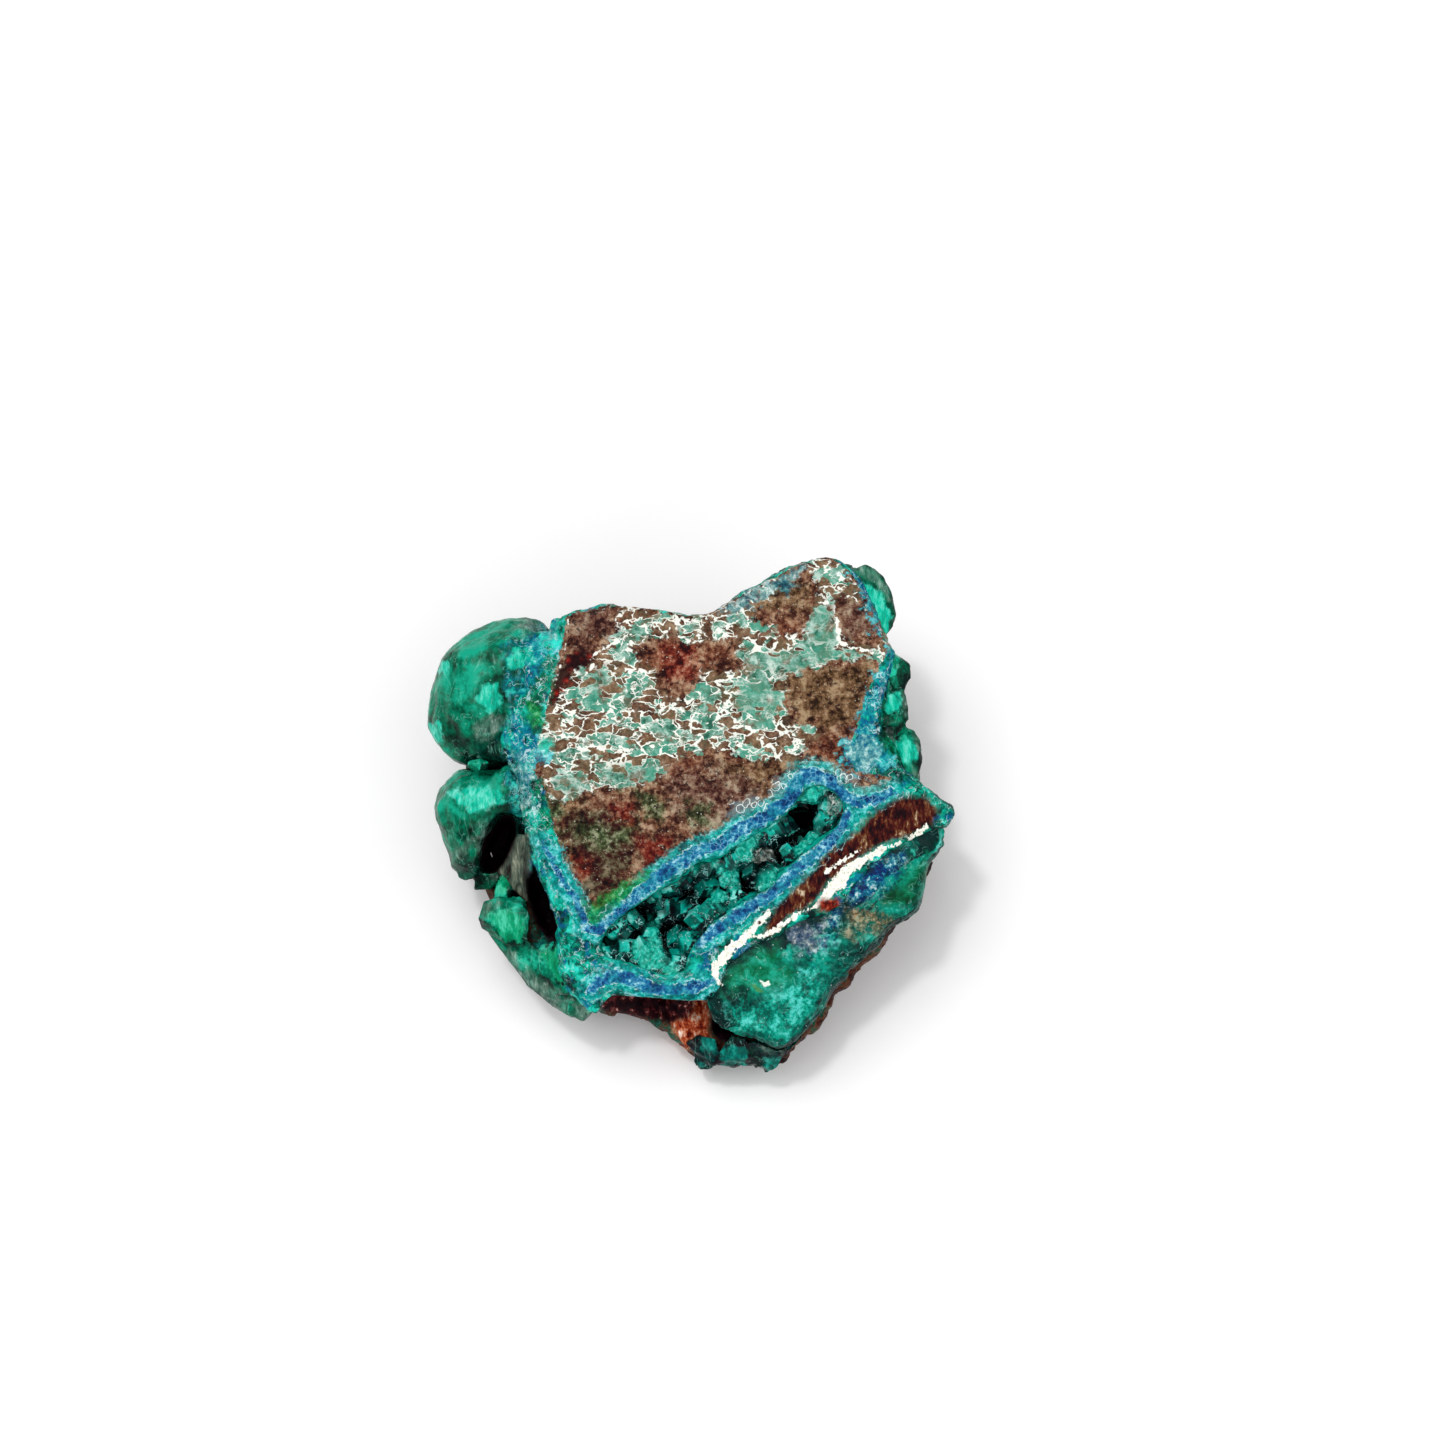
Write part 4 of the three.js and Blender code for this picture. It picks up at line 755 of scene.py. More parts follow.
def lace(m, brown):
    """Teal-grey ground with rounded brown islands, in a net of thin white lines; and a mask of the white."""
    leaning = m.warped(0.36, 2.2, m.drawn_out((0.52, 1.0, 1.0), -9, m.warped(1.0, 0.9)))
    inside_lace = m.sum(m.zone("lace"), m.noise(0.9, 5, 0.65), 3.4)
    there = m.step(inside_lace, -0.15, 0.25)
    clear = m.inside("clear", m.noise(0.7, 3), 1.5, -0.8, 0.6)

    # Islands: the cells of a pattern that a smooth noise picks out, rounded by the same noise.
    cells = m.cells(1.1, leaning)
    edges = m.borders(1.1, leaning)
    level = m.sum(m.sum(m.noise(0.62, 2, 0.5, at=leaning), m.random_of(cells), 0.22), edges, 0.12)
    limit = m.math("ADD", m.step(inside_lace, 0.2, 1.8, 0.38, 0.46), m.both(clear, 0.15))
    body = m.step(m.math("SUBTRACT", level, limit), 0.0, 0.03)
    fine = m.noise(3.0, 5, 0.7)
    ground = m.ramp(m.sum(m.noise(0.8, 4, 0.6), fine, 0.5), (0.36, 34, 90, 72), (0.46, 84, 138, 118),
                    (0.55, 120, 166, 150), (0.66, 180, 206, 194))
    ground = m.mix(m.patches(83, 0.6, 4, 0.5, 0.6, 0.75, 0.6), ground, m.mix(0.5, brown, (98, 96, 70)))
    ground = m.mix(m.patches(17, 0.45, 3, 0.5, 0.6, 0.5), ground, (60, 156, 130))
    pebble = m.ramp(m.sum(fine, m.random_of(cells), 0.25), (0.38, 66, 32, 20), (0.5, 104, 68, 46),
                    (0.62, 124, 104, 74))
    surface = m.mix(m.both(body, 0.95), ground, m.mix(0.5, brown, pebble))

    # The net: thin lines between the cells, thicker in places, and finer ones here and there.
    width = m.patches(41, 0.8, 3, 0.45, 0.66, 0.07)
    line = m.both(m.step(m.math("SUBTRACT", edges, width), 0.045, 0.015), m.patches(3, 0.7, 3, 0.44, 0.5))
    rim = m.both(m.near(level, limit, 0.02, 0.008), m.patches(8, 0.6, 3, 0.45, 0.52))
    wisps = m.both(m.step(m.borders(2.3, leaning), 0.07, 0.03), m.patches(23, 0.7, 3, 0.51, 0.57),
                   m.step(body, 0.6, 0.2), 0.75)
    quiet = m.math("SUBTRACT", 1.0, m.both(clear, 0.75))
    white = m.both(m.math("MAXIMUM", m.math("MAXIMUM", line, rim), wisps), quiet)
    seam = m.step(m.sum(m.sum(m.zone("seam"), m.noise(1.3, 4), 0.9), m.noise(3.0, 3), 0.3), 0.03, 0.1)
    chalk = m.mix(fine, (255, 255, 248), (222, 226, 212))
    surface = m.mix(there, brown, m.mix(white, surface, chalk))
    return m.mix(seam, surface, chalk), m.math("MAXIMUM", seam, m.both(white, there))


# Round the field. Zone, which noise makes its border ragged, how much, share, and the dark to pale colours.
CRUST_ZONES = [
    ("emerald", "ragged", 4.0, 0.85, (0, 44, 28), (0, 86, 54), (0, 120, 80), (30, 170, 130)),
    ("blue", "patchy", 8.0, 0.8, (2, 44, 92), (4, 90, 142), (0, 138, 146), (90, 206, 212)),
    ("pale", "ragged", 5.0, 0.7, (0, 70, 90), (50, 132, 142), (120, 176, 176), (226, 238, 234)),
    ("shine", "ragged", 2.4, 0.8, (0, 136, 116), (6, 180, 154), (40, 212, 186), (200, 246, 240)),
]


def ore_material():
    m = Material("ore")
    face, white = lace(m, rock(m))
    speckle = m.noise(2.6, 5, 0.72)
    ragged = m.noise(1.2, 5, 0.65)
    patchy = m.noise(0.9, 5, 0.68, at=m.moved(47))
    mottled = m.sum(patchy, speckle, 0.5)
    field = m.sum(m.zone("field"), ragged, 1.3)
    colour = m.mix(m.step(field, -0.06, 0.06), teal_crust(m), face)
    for zone, edge, raggedness, share, *shades in CRUST_ZONES:
        edge = {"ragged": ragged, "patchy": patchy}[edge]
        colour = m.painted(colour, zone, edge, raggedness, share, mottled, *shades)
    colour = m.mix(m.both(m.step(field, 0.06, -0.06), white_web(m, 0.65)), colour, (206, 236, 240))

    # A turquoise margin round the blue bands, green by the field's corner, with clusters of thin white rings.
    band = m.sum(m.sum(m.zone("band"), ragged, 1.7), m.noise(2.6, 3), 0.5)
    turquoise = m.ramp(m.sum(speckle, m.noise(0.7, 3), 0.8), (0.36, 0, 82, 86), (0.47, 0, 132, 128),
                       (0.57, 6, 170, 162), (0.68, 120, 216, 222))
    colour = m.mix(m.both(m.step(band, -1.3, -0.5), 0.85), colour, turquoise)
    colour = m.painted(colour, "moss", ragged, 2.4, 0.8, mottled, (0, 60, 18), (0, 108, 40), (20, 146, 70),
                       (110, 190, 130))
    colour = m.painted(colour, "rings", patchy, 3.0, 0.5, speckle, (70, 110, 120), (90, 130, 140),
                       (110, 150, 156), (150, 180, 180))
    circles = m.near(m.cells(1.15, m.warped(0.5, 1.4)).outputs["Distance"], 0.4, 0.05, 0.015)
    colour = m.mix(m.both(m.inside("rings", patchy, 3.0, -0.4, 0.1), circles), colour, (226, 236, 232))

    # Brown strip below the cleft, with an oblique grain, the white vein along it, and a red nodule.
    oblique = m.drawn_out((1.0, 0.4, 1.0), -38)
    streak = m.sum(m.noise(2.4, 5, 0.7, at=oblique), m.noise(0.5, 4, 0.6), 0.7)
    colour = m.painted(colour, "strip", ragged, 1.3, 1.0, streak, (18, 0, 6), (56, 6, 8), (84, 32, 18),
                       (112, 78, 44), (206, 186, 160), stops=(0.38, 0.48, 0.56, 0.64, 0.74))
    vein = m.sum(m.sum(m.zone("vein"), m.noise(0.8, 5, 0.7, at=oblique), 1.6), m.noise(2.4, 4, 0.6), 0.9)
    colour = m.mix(m.step(vein, -0.06, 0.0), colour,
                   m.ramp(speckle, (0.33, 150, 140, 120), (0.42, 232, 232, 218), (0.6, 250, 250, 242)))
    colour = m.mix(m.both(m.step(vein, 0.0, 0.1), m.specks(1.0, 0.26, 0.22)), colour, (70, 24, 18))
    colour = m.painted(colour, "nodule", ragged, 1.4, 1.0, speckle, (40, 2, 4), (94, 14, 8), (140, 44, 22),
                       (180, 90, 60))

    # Blue bands of small round grains, with a broken pale line along the border.
    grains = m.warped(0.5, 1.4)
    balls = m.cells(1.8, grains, randomness=0.9).outputs["Distance"]
    tone = m.sum(m.sum(m.sum(0.5, balls, 0.25), speckle, 1.0), m.noise(0.8, 3, at=m.moved(14)), 0.9)
    inner = m.ramp(tone, (0.32, 4, 46, 92), (0.44, 12, 78, 130), (0.54, 24, 108, 152), (0.62, 54, 144, 174),
                   (0.74, 168, 214, 226))
    inner = m.mix(m.patches(77, 0.6, 4, 0.48, 0.6, 0.6, 0.6), inner,
                  m.ramp(speckle, (0.4, 0, 92, 122), (0.6, 30, 160, 170)))
    rims = m.step(m.borders(1.8, grains, 0.9), 0.06, 0.02)
    rims = m.both(rims, m.patches(61, 0.5, 3, 0.46, 0.58, 0.55, least=0.05))
    inner = m.mix(rims, inner, (120, 188, 212))
    colour = m.mix(m.step(band, -0.2, 0.1), colour, inner)
    lines = m.math("MAXIMUM", m.near(band, -0.12, 0.07, 0.02), m.both(m.near(band, -0.8, 0.07, 0.02), 0.6))
    colour = m.strewn(colour, (196, 230, 232), 0.85, lines, m.patches(29, 1.1, 4, 0.47, 0.56))

    # Off the face: broken brown rock, with painted shade in the hollows, and teal crust high on the slopes.
    depth = m.height()
    # painted light: the wall's tone is paler where it turns to the lit side
    wall = m.ramp(m.sum(m.sum(m.noise(0.35, 6, 0.65), speckle, 0.3), m.zone("facet_tone_and_painted_light"), 0.12), (0.36, 26, 8, 8),
                  (0.45, 66, 28, 20), (0.52, 100, 60, 40), (0.58, 24, 76, 58), (0.68, 4, 116, 94))
    wall = m.mix(m.step(m.noise(3.2, 5, 0.7), 0.5, 0.64, 0.0, 0.75), wall, (20, 9, 8))
    wall = m.strewn(wall, (190, 180, 160), 0.6, m.specks(2.2, 0.2, 0.25))
    brown_wall = m.math("MAXIMUM", m.inside("slope", ragged, 4.0, 0.6, -0.6),
                        m.step(m.sum(depth, ragged, 5.0), -8.0, -10.5))
    colour = m.mix(m.both(m.step(m.sum(depth, ragged, 2.4), -2.4, -3.6), brown_wall), colour, wall)
    fibres = m.noise(1.9, 6, 0.72, at=m.drawn_out((1.0, 0.4, 0.5), 28))
    blade = m.noise(1.7, 6, 0.68, 0.4, at=m.drawn_out((1.2, 0.26, 0.4), 13.751))
    hidden = colour
    for zone, raggedness, source, *shades in (
        # fibres: red-orange, their palest streaks painted glints
        ("fibres", 1.6, m.sum(fibres, patchy, 0.8), (30, 2, 6), (116, 24, 12), (188, 84, 44),
         (222, 168, 138), (250, 242, 234)),
        # recess: near-black, its own dark brown with painted shade under the overhang
        ("recess", 1.2, mottled, (14, 0, 8), (26, 4, 12), (44, 8, 14), (110, 40, 40), (230, 190, 180)),
        ("fin", 1.0, blade, (26, 18, 18), (56, 62, 54), (84, 96, 84), (128, 132, 112), (200, 204, 192)),
    ):
        hidden = m.painted(hidden, zone, ragged, raggedness, 1.0, source, *shades,
                           stops=(0.32, 0.42, 0.53, 0.62, 0.72))
    colour = m.mix(m.step(depth, -0.25, -0.6), colour, hidden)
    # painted shade: the cleft's lining turns from turquoise to near-black deeper down
    lining = m.both(m.step(depth, -0.2, -0.5), m.step(m.zone("cleft"), -1.2, -0.6))
    lining_with_painted_shade = m.ramp(m.sum(mottled, m.step(depth, -1.0, -6.0), -0.3), (0.36, 4, 8, 16), (0.48, 0, 62, 56),
                   (0.58, 0, 120, 104), (0.7, 10, 178, 158))
    colour = m.mix(lining, colour, lining_with_painted_shade)
    # painted shade: the open shafts are purple-black below their mouths
    colour = m.mix(m.step(m.zone("shaft"), -0.1, 0.6), colour,
                   m.ramp(patchy, (0.4, 10, 1, 8), (0.55, 24, 5, 16), (0.66, 44, 12, 24)))
    normal = m.bump(m.sum(m.both(white, 0.5), speckle, 1.2), 0.4, 0.09)
    return m.finish(colour, m.step(depth, -0.4, -0.05, 0.5, 0.3), normal, Specular_IOR_Level=0.06)


def dioptase_material(name, stops, glow_stops):
    """Glassy green crystal: soft clouds, fine oblique streaks, and faces painted paler or darker as they turn
    to the light, with patches of painted light, reflection and shade.
    """
    m = Material(name)
    turned = m.drawn_out((1.25, 0.4, 0.8), 24)
    streaks = m.noise(1.5, 6, 0.68, at=turned)
    grain = m.noise(2.6, 5, 0.72)
    tone = m.sum(m.noise(0.3, 4, 0.55, 0.5), streaks, 0.3)
    # painted light: faces turned to the lit side are paler
    tone = m.sum(m.sum(tone, grain, 0.35), m.zone("facet_tone_and_painted_light"), 0.5)
    colour = m.ramp(tone, *((position, *stop) for position, stop in zip((0.3, 0.42, 0.54, 0.7), stops)))
    edge = m.noise(1.0, 5, 0.62)
    # dark patches: partly the crystal's own darker green, partly painted shade on lower sides
    colour = m.painted(colour, "dark", edge, 3.6, 0.8, streaks, (0, 12, 12), (2, 44, 36), (20, 84, 66),
                       stops=(0.36, 0.5, 0.66), low=-0.6, high=1.4)
    # grey patches: painted reflection
    colour = m.painted(colour, "grey", edge, 2.6, 0.8, streaks, (24, 62, 52), (74, 110, 96), (116, 144, 130),
                       (200, 210, 202), stops=(0.34, 0.46, 0.58, 0.7), high=0.8)
    crusty = m.ramp(m.sum(m.noise(0.8, 5, 0.65, at=m.moved(27)), grain, 0.4), (0.34, 0, 44, 40),
                    (0.43, 0, 90, 76), (0.5, 0, 96, 118), (0.57, 0, 150, 138), (0.66, 60, 208, 196))
    crusty = m.mix(white_web(m, 0.6), crusty, (176, 228, 230))
    crust = m.inside("crust", m.noise(0.6, 5, 0.65, at=m.moved(19)), 6.0, -0.5, 0.8, 0.9)
    colour = m.mix(crust, colour, crusty)
    # glow patches: painted light, bright turquoise
    colour = m.painted(colour, "glow", edge, 2.0, 0.9, m.sum(streaks, m.zone("facet_tone_and_painted_light"), 0.2), *glow_stops,
                       stops=(0.36, 0.5, 0.66), high=0.1)
    strands = m.threads(0.8, 0.014, turned, 6.0)
    colour = m.strewn(colour, (130, 204, 184), 0.3, strands, m.patches(11, 0.5, 3, 0.46, 0.56))
    colour = m.strewn(colour, (190, 232, 220), 0.7, m.specks(2.0, 0.13, 0.1))
    return m.finish(colour, m.step(edge, 0.3, 0.7, 0.16, 0.32), m.bump(m.sum(streaks, grain, 0.5), 0.3, 0.1),
                    IOR=1.66, Transmission_Weight=0.04, Specular_IOR_Level=0.03)


def druse_material():
    """Cleft crystals: turquoise, with bright patches of painted light, grey ones of painted reflection,
    near-black ones, and purple-black painted shade between them and deeper down.
    """
    m = Material("cleft_crystals")
    grain = m.noise(2.4, 5, 0.7)
    # painted light: facets turned to the lit side are paler
    tone = m.sum(m.sum(m.noise(0.4, 3, 0.5), grain, 0.2), m.zone("facet_tone_and_painted_light"), 0.75)
    colour = m.ramp(tone, (0.24, 0, 16, 20), (0.36, 0, 50, 48), (0.48, 0, 90, 80), (0.6, 0, 134, 118),
                    (0.74, 14, 188, 170), (0.9, 150, 232, 224))
    edge = m.noise(1.2, 4, 0.62)
    # glow: painted light
    colour = m.painted(colour, "glow", edge, 2.6, 0.8, grain, (0, 136, 114), (4, 180, 156), (84, 226, 206),
                       stops=(0.38, 0.5, 0.62), high=0.4)
    # grey: painted reflection
    colour = m.painted(colour, "grey", edge, 1.6, 0.8, grain, (22, 30, 36), (88, 96, 92), (150, 156, 146),
                       (240, 240, 232), stops=(0.38, 0.48, 0.56, 0.62), low=-0.2, high=0.4)
    # dark crystals, and painted shade in the pits and gaps between them
    dark_and_painted_shade = m.ramp(tone, (0.4, 14, 2, 12), (0.55, 2, 22, 26), (0.75, 0, 76, 66))
    colour = m.mix(m.inside("dark", edge, 2.2, -0.2, 0.5, 0.9), colour, dark_and_painted_shade)
    # painted shade: darker deeper in the cleft
    colour = m.mix(m.step(m.sum(m.height(), m.noise(0.6, 4), 2.4), -4.0, -5.6), colour, dark_and_painted_shade)
    colour = m.strewn(colour, (160, 224, 220), 0.8, m.threads(1.0, 0.018), m.patches(2, 0.6, 3, 0.48, 0.58))
    colour = m.strewn(colour, (200, 236, 230), 0.7, m.specks(2.4, 0.2, 0.2))
    return m.finish(colour, m.step(tone, 0.3, 0.7, 0.12, 0.34), m.bump(m.noise(3.0, 4, 0.6), 0.25, 0.07),
                    IOR=1.66, Transmission_Weight=0.06, Specular_IOR_Level=0.07)


SLAB_TONES = [  # zone, its share, then positions and colours
    ("bright", 0.8, (0.36, 0, 74, 64), (0.46, 0, 128, 108), (0.55, 0, 168, 144), (0.66, 90, 214, 204)),
    ("blue", 0.9, (0.38, 2, 30, 86), (0.46, 8, 66, 132), (0.52, 0, 112, 128), (0.58, 50, 156, 176),
     (0.68, 206, 228, 232)),
    ("purple", 0.85, (0.34, 28, 58, 84), (0.46, 76, 96, 122), (0.56, 110, 124, 136), (0.68, 196, 204, 206)),
    ("tan", 0.75, (0.4, 4, 52, 46), (0.47, 52, 66, 48), (0.53, 124, 76, 44), (0.58, 64, 74, 54),
     (0.68, 184, 146, 106)),
    ("dark", 0.8, (0.38, 6, 18, 20), (0.52, 0, 56, 50), (0.68, 20, 104, 92)),
]


def slab_material():
    """Massive green slab, with blue, grey and tan patches, and brown rock on its broken sides."""
    m = Material("green_slab")
    speckle = m.noise(2.6, 5, 0.72)
    edge = m.noise(0.9, 5, 0.62)
    facets = m.random_of(m.cells(0.5, m.warped(1.6, 0.5)))
    tone = m.sum(m.sum(m.noise(0.4, 5, 0.62, 0.3), facets, 0.18), speckle, 0.4)
    # painted light: faces turned to the lit side are paler
    tone = m.sum(tone, m.zone("facet_tone_and_painted_light"), 0.4)
    colour = m.ramp(tone, (0.3, 0, 36, 34), (0.42, 0, 84, 72), (0.52, 0, 120, 100), (0.62, 4, 156, 134),
                    (0.78, 110, 206, 196))
    heart = m.sum(m.noise(0.5, 4, 0.6, at=m.moved(9)), speckle, 0.5)
    colour = m.painted(colour, "green", edge, 4.0, 1.0, heart, (0, 56, 32), (0, 90, 56), (0, 116, 80),
                       (24, 160, 130), stops=(0.34, 0.46, 0.56, 0.7), low=-0.6, high=1.4)
    patchy = m.sum(speckle, m.noise(0.8, 4, 0.6, at=m.moved(33)), 1.1)
    for zone, share, *stops in SLAB_TONES:
        colour = m.mix(m.inside(zone, edge, 5.0, -0.5, 1.1, share), colour, m.ramp(patchy, *stops))
    colour = m.mix(m.inside("chip", speckle, 0.8, -0.04, 0.04), colour, (232, 240, 228))
    colour = m.mix(m.inside("moss", speckle, 0.8, -0.16, 0.1, 0.7), colour, (96, 130, 20))
    vein = m.sum(m.sum(m.zone("vein"), edge, 1.6), m.noise(2.8, 3), 0.5)
    colour = m.mix(m.step(vein, 0.0, 0.08), colour, (238, 240, 228))
    colour = m.strewn(colour, (140, 216, 204), 0.25, m.threads(0.9, 0.02), m.patches(2, 0.5, 3, 0.46, 0.58))
    layered = m.noise(1.8, 5, 0.7, at=m.drawn_out((0.5, 0.5, 1.8)))
    colour = m.painted(colour, "brown", m.noise(0.8, 4, 0.6), 2.4, 1.0, layered, (24, 8, 10), (70, 28, 24),
                       (110, 62, 46), (214, 206, 196), stops=(0.35, 0.5, 0.62, 0.7), low=-0.2, high=0.9)
    colour = m.strewn(colour, (200, 236, 228), 0.7, m.specks(2.4, 0.17, 0.14))
    return m.finish(colour, m.step(edge, 0.3, 0.7, 0.22, 0.4), m.bump(m.sum(tone, speckle, 0.8), 0.4, 0.14),
                    IOR=1.6, Transmission_Weight=0.03, Specular_IOR_Level=0.03)


# ---------------------------------------------------------------- pieces
def above_base(co):
    """Height over the resting plane, in mm, of points in the face frame."""
    return FACE_AT.z + co[:, 1] * math.sin(TILT) + co[:, 2] * math.cos(TILT)


def shaft_depth(co):
    """Positive inside the open shafts, a little way below their mouths, where shade is painted."""
    best = np.full(len(co), OUTSIDE)
    for across, up, radius_across, radius_up, turn, start in SHAFTS:
        angle = math.radians(turn)
        x, y = co[:, 0] - across, co[:, 1] - up
        along = (x * math.cos(angle) + y * math.sin(angle)) / radius_across
        over = (y * math.cos(angle) - x * math.sin(angle)) / radius_up
        best = np.maximum(best, np.minimum((1.25 - np.hypot(along, over)) * 1.5, -co[:, 2] - start))
    return best


def surface(points, faces):
    """A search tree for the nearest place on this surface."""
    return BVHTree.FromPolygons([Vector(p) for p in points], faces)


def ore_piece():
    """Makes the ore, and gives its surface for the other pieces to close on."""
    mesh = remeshed([face_mesh("ore_matrix")], ORE_VOXEL)
    co, out = coordinates(mesh), normals(mesh)
    face = (co[:, 2] > -0.2) & (out[:, 2] > 0.8)
    base = above_base(co) < BASE_LAYER
    co = relax(mesh, co, 2, face | base)
    place(mesh, co)
    out = normals(mesh)

    # The cut face is a true plane, chipped a little where it breaks off, with crystals round the polish.
    border = KDTree(int((~face).sum()))
    for i in np.flatnonzero(~face):
        border.insert(co[i], int(i))
    border.balance()
    from_edge = np.zeros(len(co))
    for i in np.flatnonzero(face):
        from_edge[i] = border.find(co[i])[2]
    chips = np.clip(roughness_field(co, 1.1, 3, 4.0) + 0.15, 0, 1)
    co[face, 2] = 0
    lowered = CHIP_DEPTH * chips * (1 - smooth(from_edge, 0.1, 0.8))
    flat = co[:, :2]
    lines = [0.3 - nearest(flat, BANDS), 0.3 - nearest(flat, VEINS)]
    polished = np.max([depth_in(flat, FIELD, *ORE_ZONES["strip"]), *lines], axis=0)
    crystals = np.clip(0.32 + facet_field(co, 1.35, 9.0, 0.9), 0, 1.1)
    lowered += FACE_CRYSTALS * crystals * (1 - smooth(polished, -1.0, -0.1))
    co[:, 2] -= np.where(face, lowered, 0)

    # Broken rock everywhere else, and a crust of small crystal faces on the slope to the left.
    free = smooth(-co[:, 2], 0.0, 1.4) * smooth(above_base(co), 0.3, 1.6) * ~face
    slope = smooth(-co[:, 0], 11.5, 13.5) * smooth(co[:, 2], -7, -4)
    broken = 0.45 * roughness_field(co, 3.2, 4) + 0.3 * facet_field(co, 2.6, 3.0)
    broken = broken + 0.1 * roughness_field(co, 0.8, 3, 8.0)
    crust = 0.45 * facet_field(co, 1.5, 5.0) + 0.25 * roughness_field(co, 2.0, 3, 2.0)
    co += out * (free * (broken * (1 - slope) + crust * slope))[:, None]
    co[base, 2] -= above_base(co[base]) / math.cos(TILT)
    place(mesh, co)

    attribute(mesh, "field", depth_in(flat, FIELD))
    attribute(mesh, "lace", np.minimum(depth_in(flat, LACE), -depth_in(flat, *BROWN_PATCHES)))
    for name, polygons in (("clear", CLEAR_TEAL), ("cleft", [CLEFT]), *ORE_ZONES.items()):
        attribute(mesh, name, depth_in(flat, *polygons))
    for name, lines in (("band", BANDS), ("vein", VEINS), ("seam", WHITE_SEAMS)):
        attribute(mesh, name, -nearest(flat, lines))
    attribute(mesh, "shaft", shaft_depth(co))
    painted_light_tones(mesh)
    faces = [list(p.vertices) for p in mesh.polygons]
    finished(mesh, "ore", ore_material(), "ore", "ore_matrix")
    return surface(co, faces)


def pressed(co, ore):
    """Closes the narrow seam between a piece and the ore: points near the ore move into it, others less."""
    for i, p in enumerate(co):
        point = Vector(p)
        hit, normal, _, distance = ore.find_nearest(point, SEAM_REACH)
        if hit and (point - hit).dot(normal) > 0:
            share = 1 - min(max((distance - SEAM_CLOSED) / (SEAM_REACH - SEAM_CLOSED), 0), 1)
            co[i] = point + (hit - normal * SEAM_OVERLAP - point) * share
    return co


def small_crystals(points, triangles, seed):
    """Small crystals that stand on a shell, more of them where it faces the viewer."""
    rng = np.random.default_rng(seed)
    corners = points[np.array(triangles)]
    cross = np.cross(corners[:, 1] - corners[:, 0], corners[:, 2] - corners[:, 0])
    area = np.linalg.norm(cross, axis=1)
    out = cross / np.maximum(area, 1e-9)[:, None]
    weight = area * np.clip(out[:, 2] + 0.1, 0, None)
    shells = []
    for i in rng.choice(len(corners), DRUSE_CRYSTALS, p=weight / weight.sum()):
        u, v = np.sort(rng.random(2))
        at = corners[i, 0] * u + corners[i, 1] * (v - u) + corners[i, 2] * (1 - v)
        lean = out[i] + 0.5 * rng.normal(size=3)
        lean /= np.linalg.norm(lean)
        size = DRUSE_RADIUS * (0.55 + 0.9 * rng.random())
        tip, root = at + lean * size * (0.4 + 0.9 * rng.random()), at - lean * size * 1.6
        shells.append(hexagonal_crystal(tip, root, size, rng.random() * math.pi))
    return shells


def wall_crystals(seed):
    """Crystals that lean out of the cleft's walls all the way round, except where it stays dark."""
    rng = np.random.default_rng(seed)
    shells = []
    for start, end in zip(CLEFT, CLEFT[1:] + CLEFT[:1]):
        along = Vector((*end, 0)) - Vector((*start, 0))
        inward = Vector((-along.y, along.x, 0)).normalized()
        count = max(1, round(along.length / WALL_CRYSTAL_SPACING))
        for i in range(count):
            foot = Vector((*start, 0)) + along * (i + rng.random()) / count - 0.8 * inward
            tip = foot + inward * (1.4 + 1.6 * rng.random())
            foot.z, tip.z = -4 - rng.random(), -0.4 - 1.3 * rng.random()
            if depth_in(np.array([tip[:2]]), *CLEFT_TONES["dark"])[0] <= -0.2:
                radius = 0.7 + 0.8 * rng.random()
                shells.append(hexagonal_crystal(tip, foot, radius, rng.random() * math.pi, 0.9))
    return shells


def tones(mesh, co, zones=()):
    """Where the crystals' shaders paint bright light, grey reflection, dark tone with shade, or crust."""
    for name in ("glow", "grey", "dark", "crust"):
        here = depth_in(co[:, :2], *zones[name]) if name in zones else np.full(len(co), OUTSIDE)
        attribute(mesh, name, here)


def painted_light_tones(mesh, shells=()):
    """Painted light: paler where the surface is turned to the lit side. On crystals, each flat face also has
    its own tone.
    """
    facing = normals(mesh)
    own = 0
    if shells:
        tree = surface(*joined(shells))
        facing = np.array([tree.find_nearest(Vector(p))[1] for p in coordinates(mesh)])
        own = 0.16 * np.array([noise.cell(Vector(n) * 5.3) for n in facing])
    # painted light from the facing, plus each crystal face's own random tone
    attribute(mesh, "facet_tone_and_painted_light", 0.5 + 0.5 * (facing @ LIT_SIDE - LIT_SIDE[2]) + own)


def crystal_piece(node, ore, voxel, extra=(), rise=None, rounds=1):
    """A CAD node, with whatever else grows on it, under one skin that bumps and facets raise."""
    shells = [face_mesh(node), *extra]
    mesh = remeshed(shells, voxel)
    co = relax(mesh, coordinates(mesh), rounds)
    place(mesh, co)
    if rise:
        co += normals(mesh) * rise(co)[:, None]
    co = pressed(co, ore)
    place(mesh, co)
    painted_light_tones(mesh, shells)
    return mesh, co


def lobe_piece(node, ore, seed):
    """A smooth lobe. The flat faces at the lower lobe's foot keep their edges."""
    mesh = remeshed([face_mesh(node)], LOBE_VOXEL)
    co = coordinates(mesh)
    co = relax(mesh, co, LOBE_ROUNDS, co[:, 1] < FOOT_BELOW, keep_size=True)
    faceted = 1 - smooth(co[:, 1], -2.4, -1.2)
    co = relax(mesh, co, 6, faceted > 0.5)
    place(mesh, co)
    rise = 0.5 * roughness_field(co, 4.5, 2, seed) + 0.12 * roughness_field(co, 1.3, 3, seed + 3)
    co += normals(mesh) * ((1 - 0.8 * faceted) * rise)[:, None]
    co = pressed(co, ore)
    place(mesh, co)
    painted_light_tones(mesh)
    tones(mesh, co, LOBE_TONES)
    return mesh


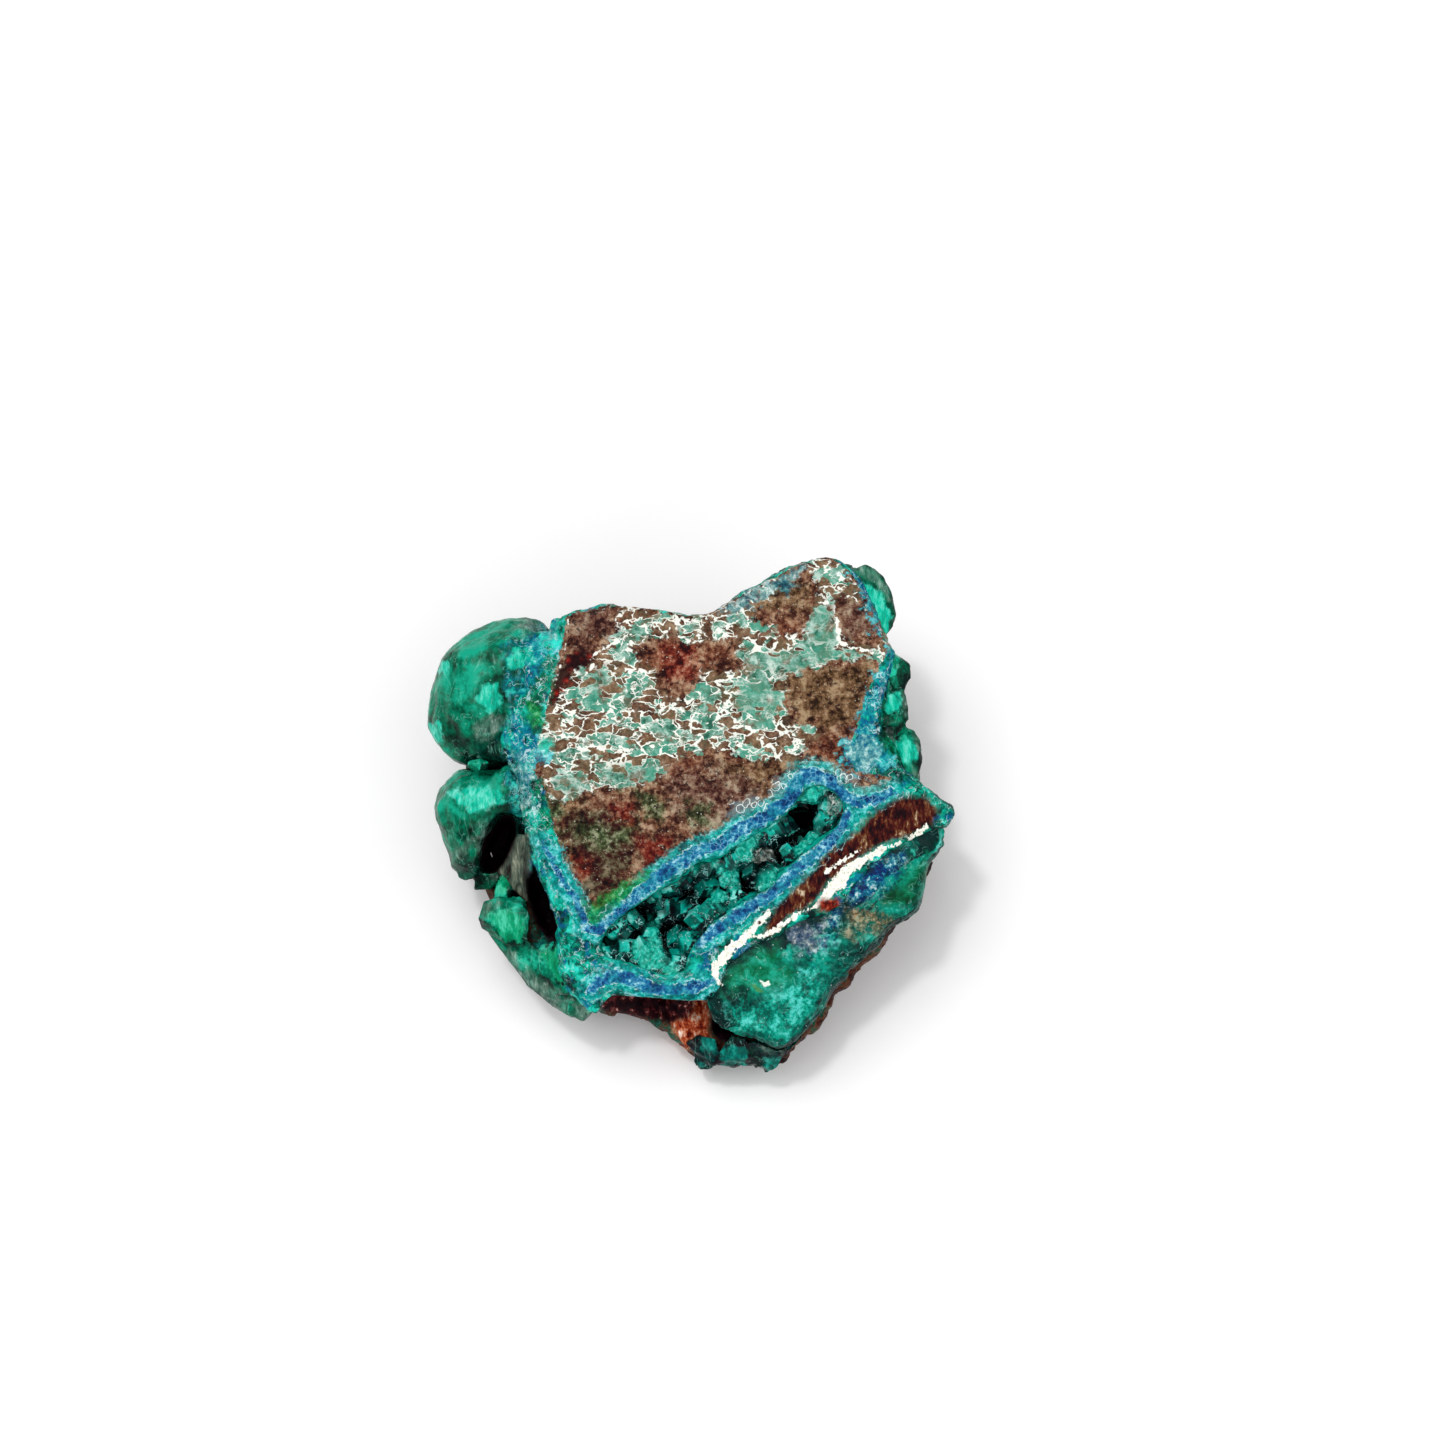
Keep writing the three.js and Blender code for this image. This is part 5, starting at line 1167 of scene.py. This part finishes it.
def slab_rise(co):
    """Lumpy where the slab is crystalline, smooth in its green heart."""
    heart = smooth(depth_in(co[:, :2], *SLAB_ZONES["green"]), -1.5, 0.5)
    rough = 0.35 * facet_field(co, 1.7, 6.0) + 0.25 * roughness_field(co, 1.6, 4, 3.0)
    return (1 - 0.85 * heart) * rough


def slab_piece(ore):
    seam = plate(SLAB_SEAM, *SEAM_PLATE)
    mesh, co = crystal_piece("green_slab", ore, LOBE_VOXEL, [seam], slab_rise, SLAB_ROUNDS)
    co[co[:, 2] > SLAB_TOP, 2] = SLAB_TOP
    place(mesh, co)
    for name, polygons in SLAB_ZONES.items():
        attribute(mesh, name, depth_in(co[:, :2], *polygons))
    attribute(mesh, "vein", -nearest(co[:, :2], VEINS))
    attribute(mesh, "brown", smooth(-co[:, 2], 2.2, 3.8) * 2 - 1)
    return mesh


def crystal_rise(rough, seed):
    """How far a group's faces are raised at each point: tilted facets and a fine roughness."""
    def rise(co):
        return rough * (0.12 * facet_field(co, 1.3, seed) + 0.1 * roughness_field(co, 1.2, 3, seed))

    return rise


# Colours from dark to pale: three of bright patches of painted light, then three of whole crystals.
TURQUOISE = ((0, 150, 122), (10, 200, 168), (120, 232, 212))
GREEN = ((0, 124, 82), (4, 162, 114), (80, 206, 168))
DUSKY = ((0, 84, 76), (0, 128, 114), (50, 184, 170))
BRIGHT = ((0, 24, 20), (0, 72, 52), (0, 122, 92), (36, 192, 158))
DEEP = ((12, 2, 12), (0, 30, 32), (0, 74, 68), (10, 130, 118))
EMERALD = ((0, 16, 12), (0, 66, 46), (0, 112, 82), (20, 166, 134))
CRYSTAL_GROUPS = [  # node, material, slot, how rough its faces are, seed, zones of painted light, reflection and shade
    ("upper_right_crystals", "rim", "dioptase", 0.5, 11, RIM_TONES),
    ("right_rim_crystals", "rim", "dioptase", 0.5, 12, RIM_TONES),
    ("fan_crystals", "fan", "dioptase", 0.6, 13, FAN_TONES),
    ("foot_crystals", "foot", "dioptase", 1.4, 14, FOOT_TONES),
    ("perched_crystal", "rim", "pale_crystal", 0.4, 15, ()),
]


def specimen():
    ore = ore_piece()
    lobes = dioptase_material("lobes", EMERALD, TURQUOISE)
    for node, seed in (("upper_left_lobe", 1.0), ("lower_left_lobe", 7.0)):
        finished(lobe_piece(node, ore, seed), node + "_skin", lobes, "dioptase", node)
    finished(slab_piece(ore), "green_slab_skin", slab_material(), "dioptase", "green_slab")
    materials = {
        "rim": dioptase_material("rim_crystals", BRIGHT, TURQUOISE),
        "fan": dioptase_material("fan_crystals", BRIGHT, GREEN),
        "foot": dioptase_material("foot_crystals", DEEP, DUSKY),
    }
    for node, material, slot, rough, seed, zones in CRYSTAL_GROUPS:
        mesh, co = crystal_piece(node, ore, CRYSTAL_VOXEL, rise=crystal_rise(rough, seed))
        tones(mesh, co, zones)
        finished(mesh, node + "_skin", materials[material], slot, node)
    extra = small_crystals(*face_mesh("cleft_crust"), 21) + wall_crystals(5)
    mesh, co = crystal_piece("cleft_crust", ore, DRUSE_VOXEL, extra, rounds=0)
    tones(mesh, co, CLEFT_TONES)
    finished(mesh, "cleft_druse", druse_material(), "crust_crystal", "cleft_crust")


def plain_floor():
    bpy.ops.mesh.primitive_plane_add(size=FLOOR_SIZE, location=(0, 0, -FLOOR_BELOW))
    floor = bpy.context.object
    floor.name = "floor"
    m = Material("floor")
    pale = m.ramp(m.noise(0.02, 2), (0.4, 246, 246, 246), (0.6, 250, 250, 250))
    floor.data.materials.append(m.finish(pale, 0.8))


def studio():
    """The photo's camera, square to the cut face, and a white sky with soft light from the upper left."""
    data = bpy.data.cameras.new("camera")
    data.sensor_width, data.lens = SENSOR_MM, LENS_MM
    camera = link("camera", data)
    camera.location = TO_PART @ Vector((*CAMERA_AXIS, CAMERA_DISTANCE))
    camera.rotation_euler = (TILT, 0, 0)
    bpy.context.scene.camera = camera
    for name, direction, spread, strength in SUNS:
        light = bpy.data.lights.new(name, "SUN")
        light.energy, light.angle = strength, math.radians(spread)
        lamp = link(name, light)
        lamp.rotation_euler = (TURN.to_3x3() @ Vector(direction)).to_track_quat("Z", "Y").to_euler()
    world = bpy.data.worlds.new("sky")
    bpy.context.scene.world = world
    world.use_nodes = True
    background = world.node_tree.nodes["Background"]
    background.inputs["Color"].default_value = (1, 1, 1, 1)
    background.inputs["Strength"].default_value = SKY
    bpy.context.scene.view_settings.view_transform = "Standard"
    bpy.context.scene.view_settings.look = "None"


specimen()
plain_floor()
studio()
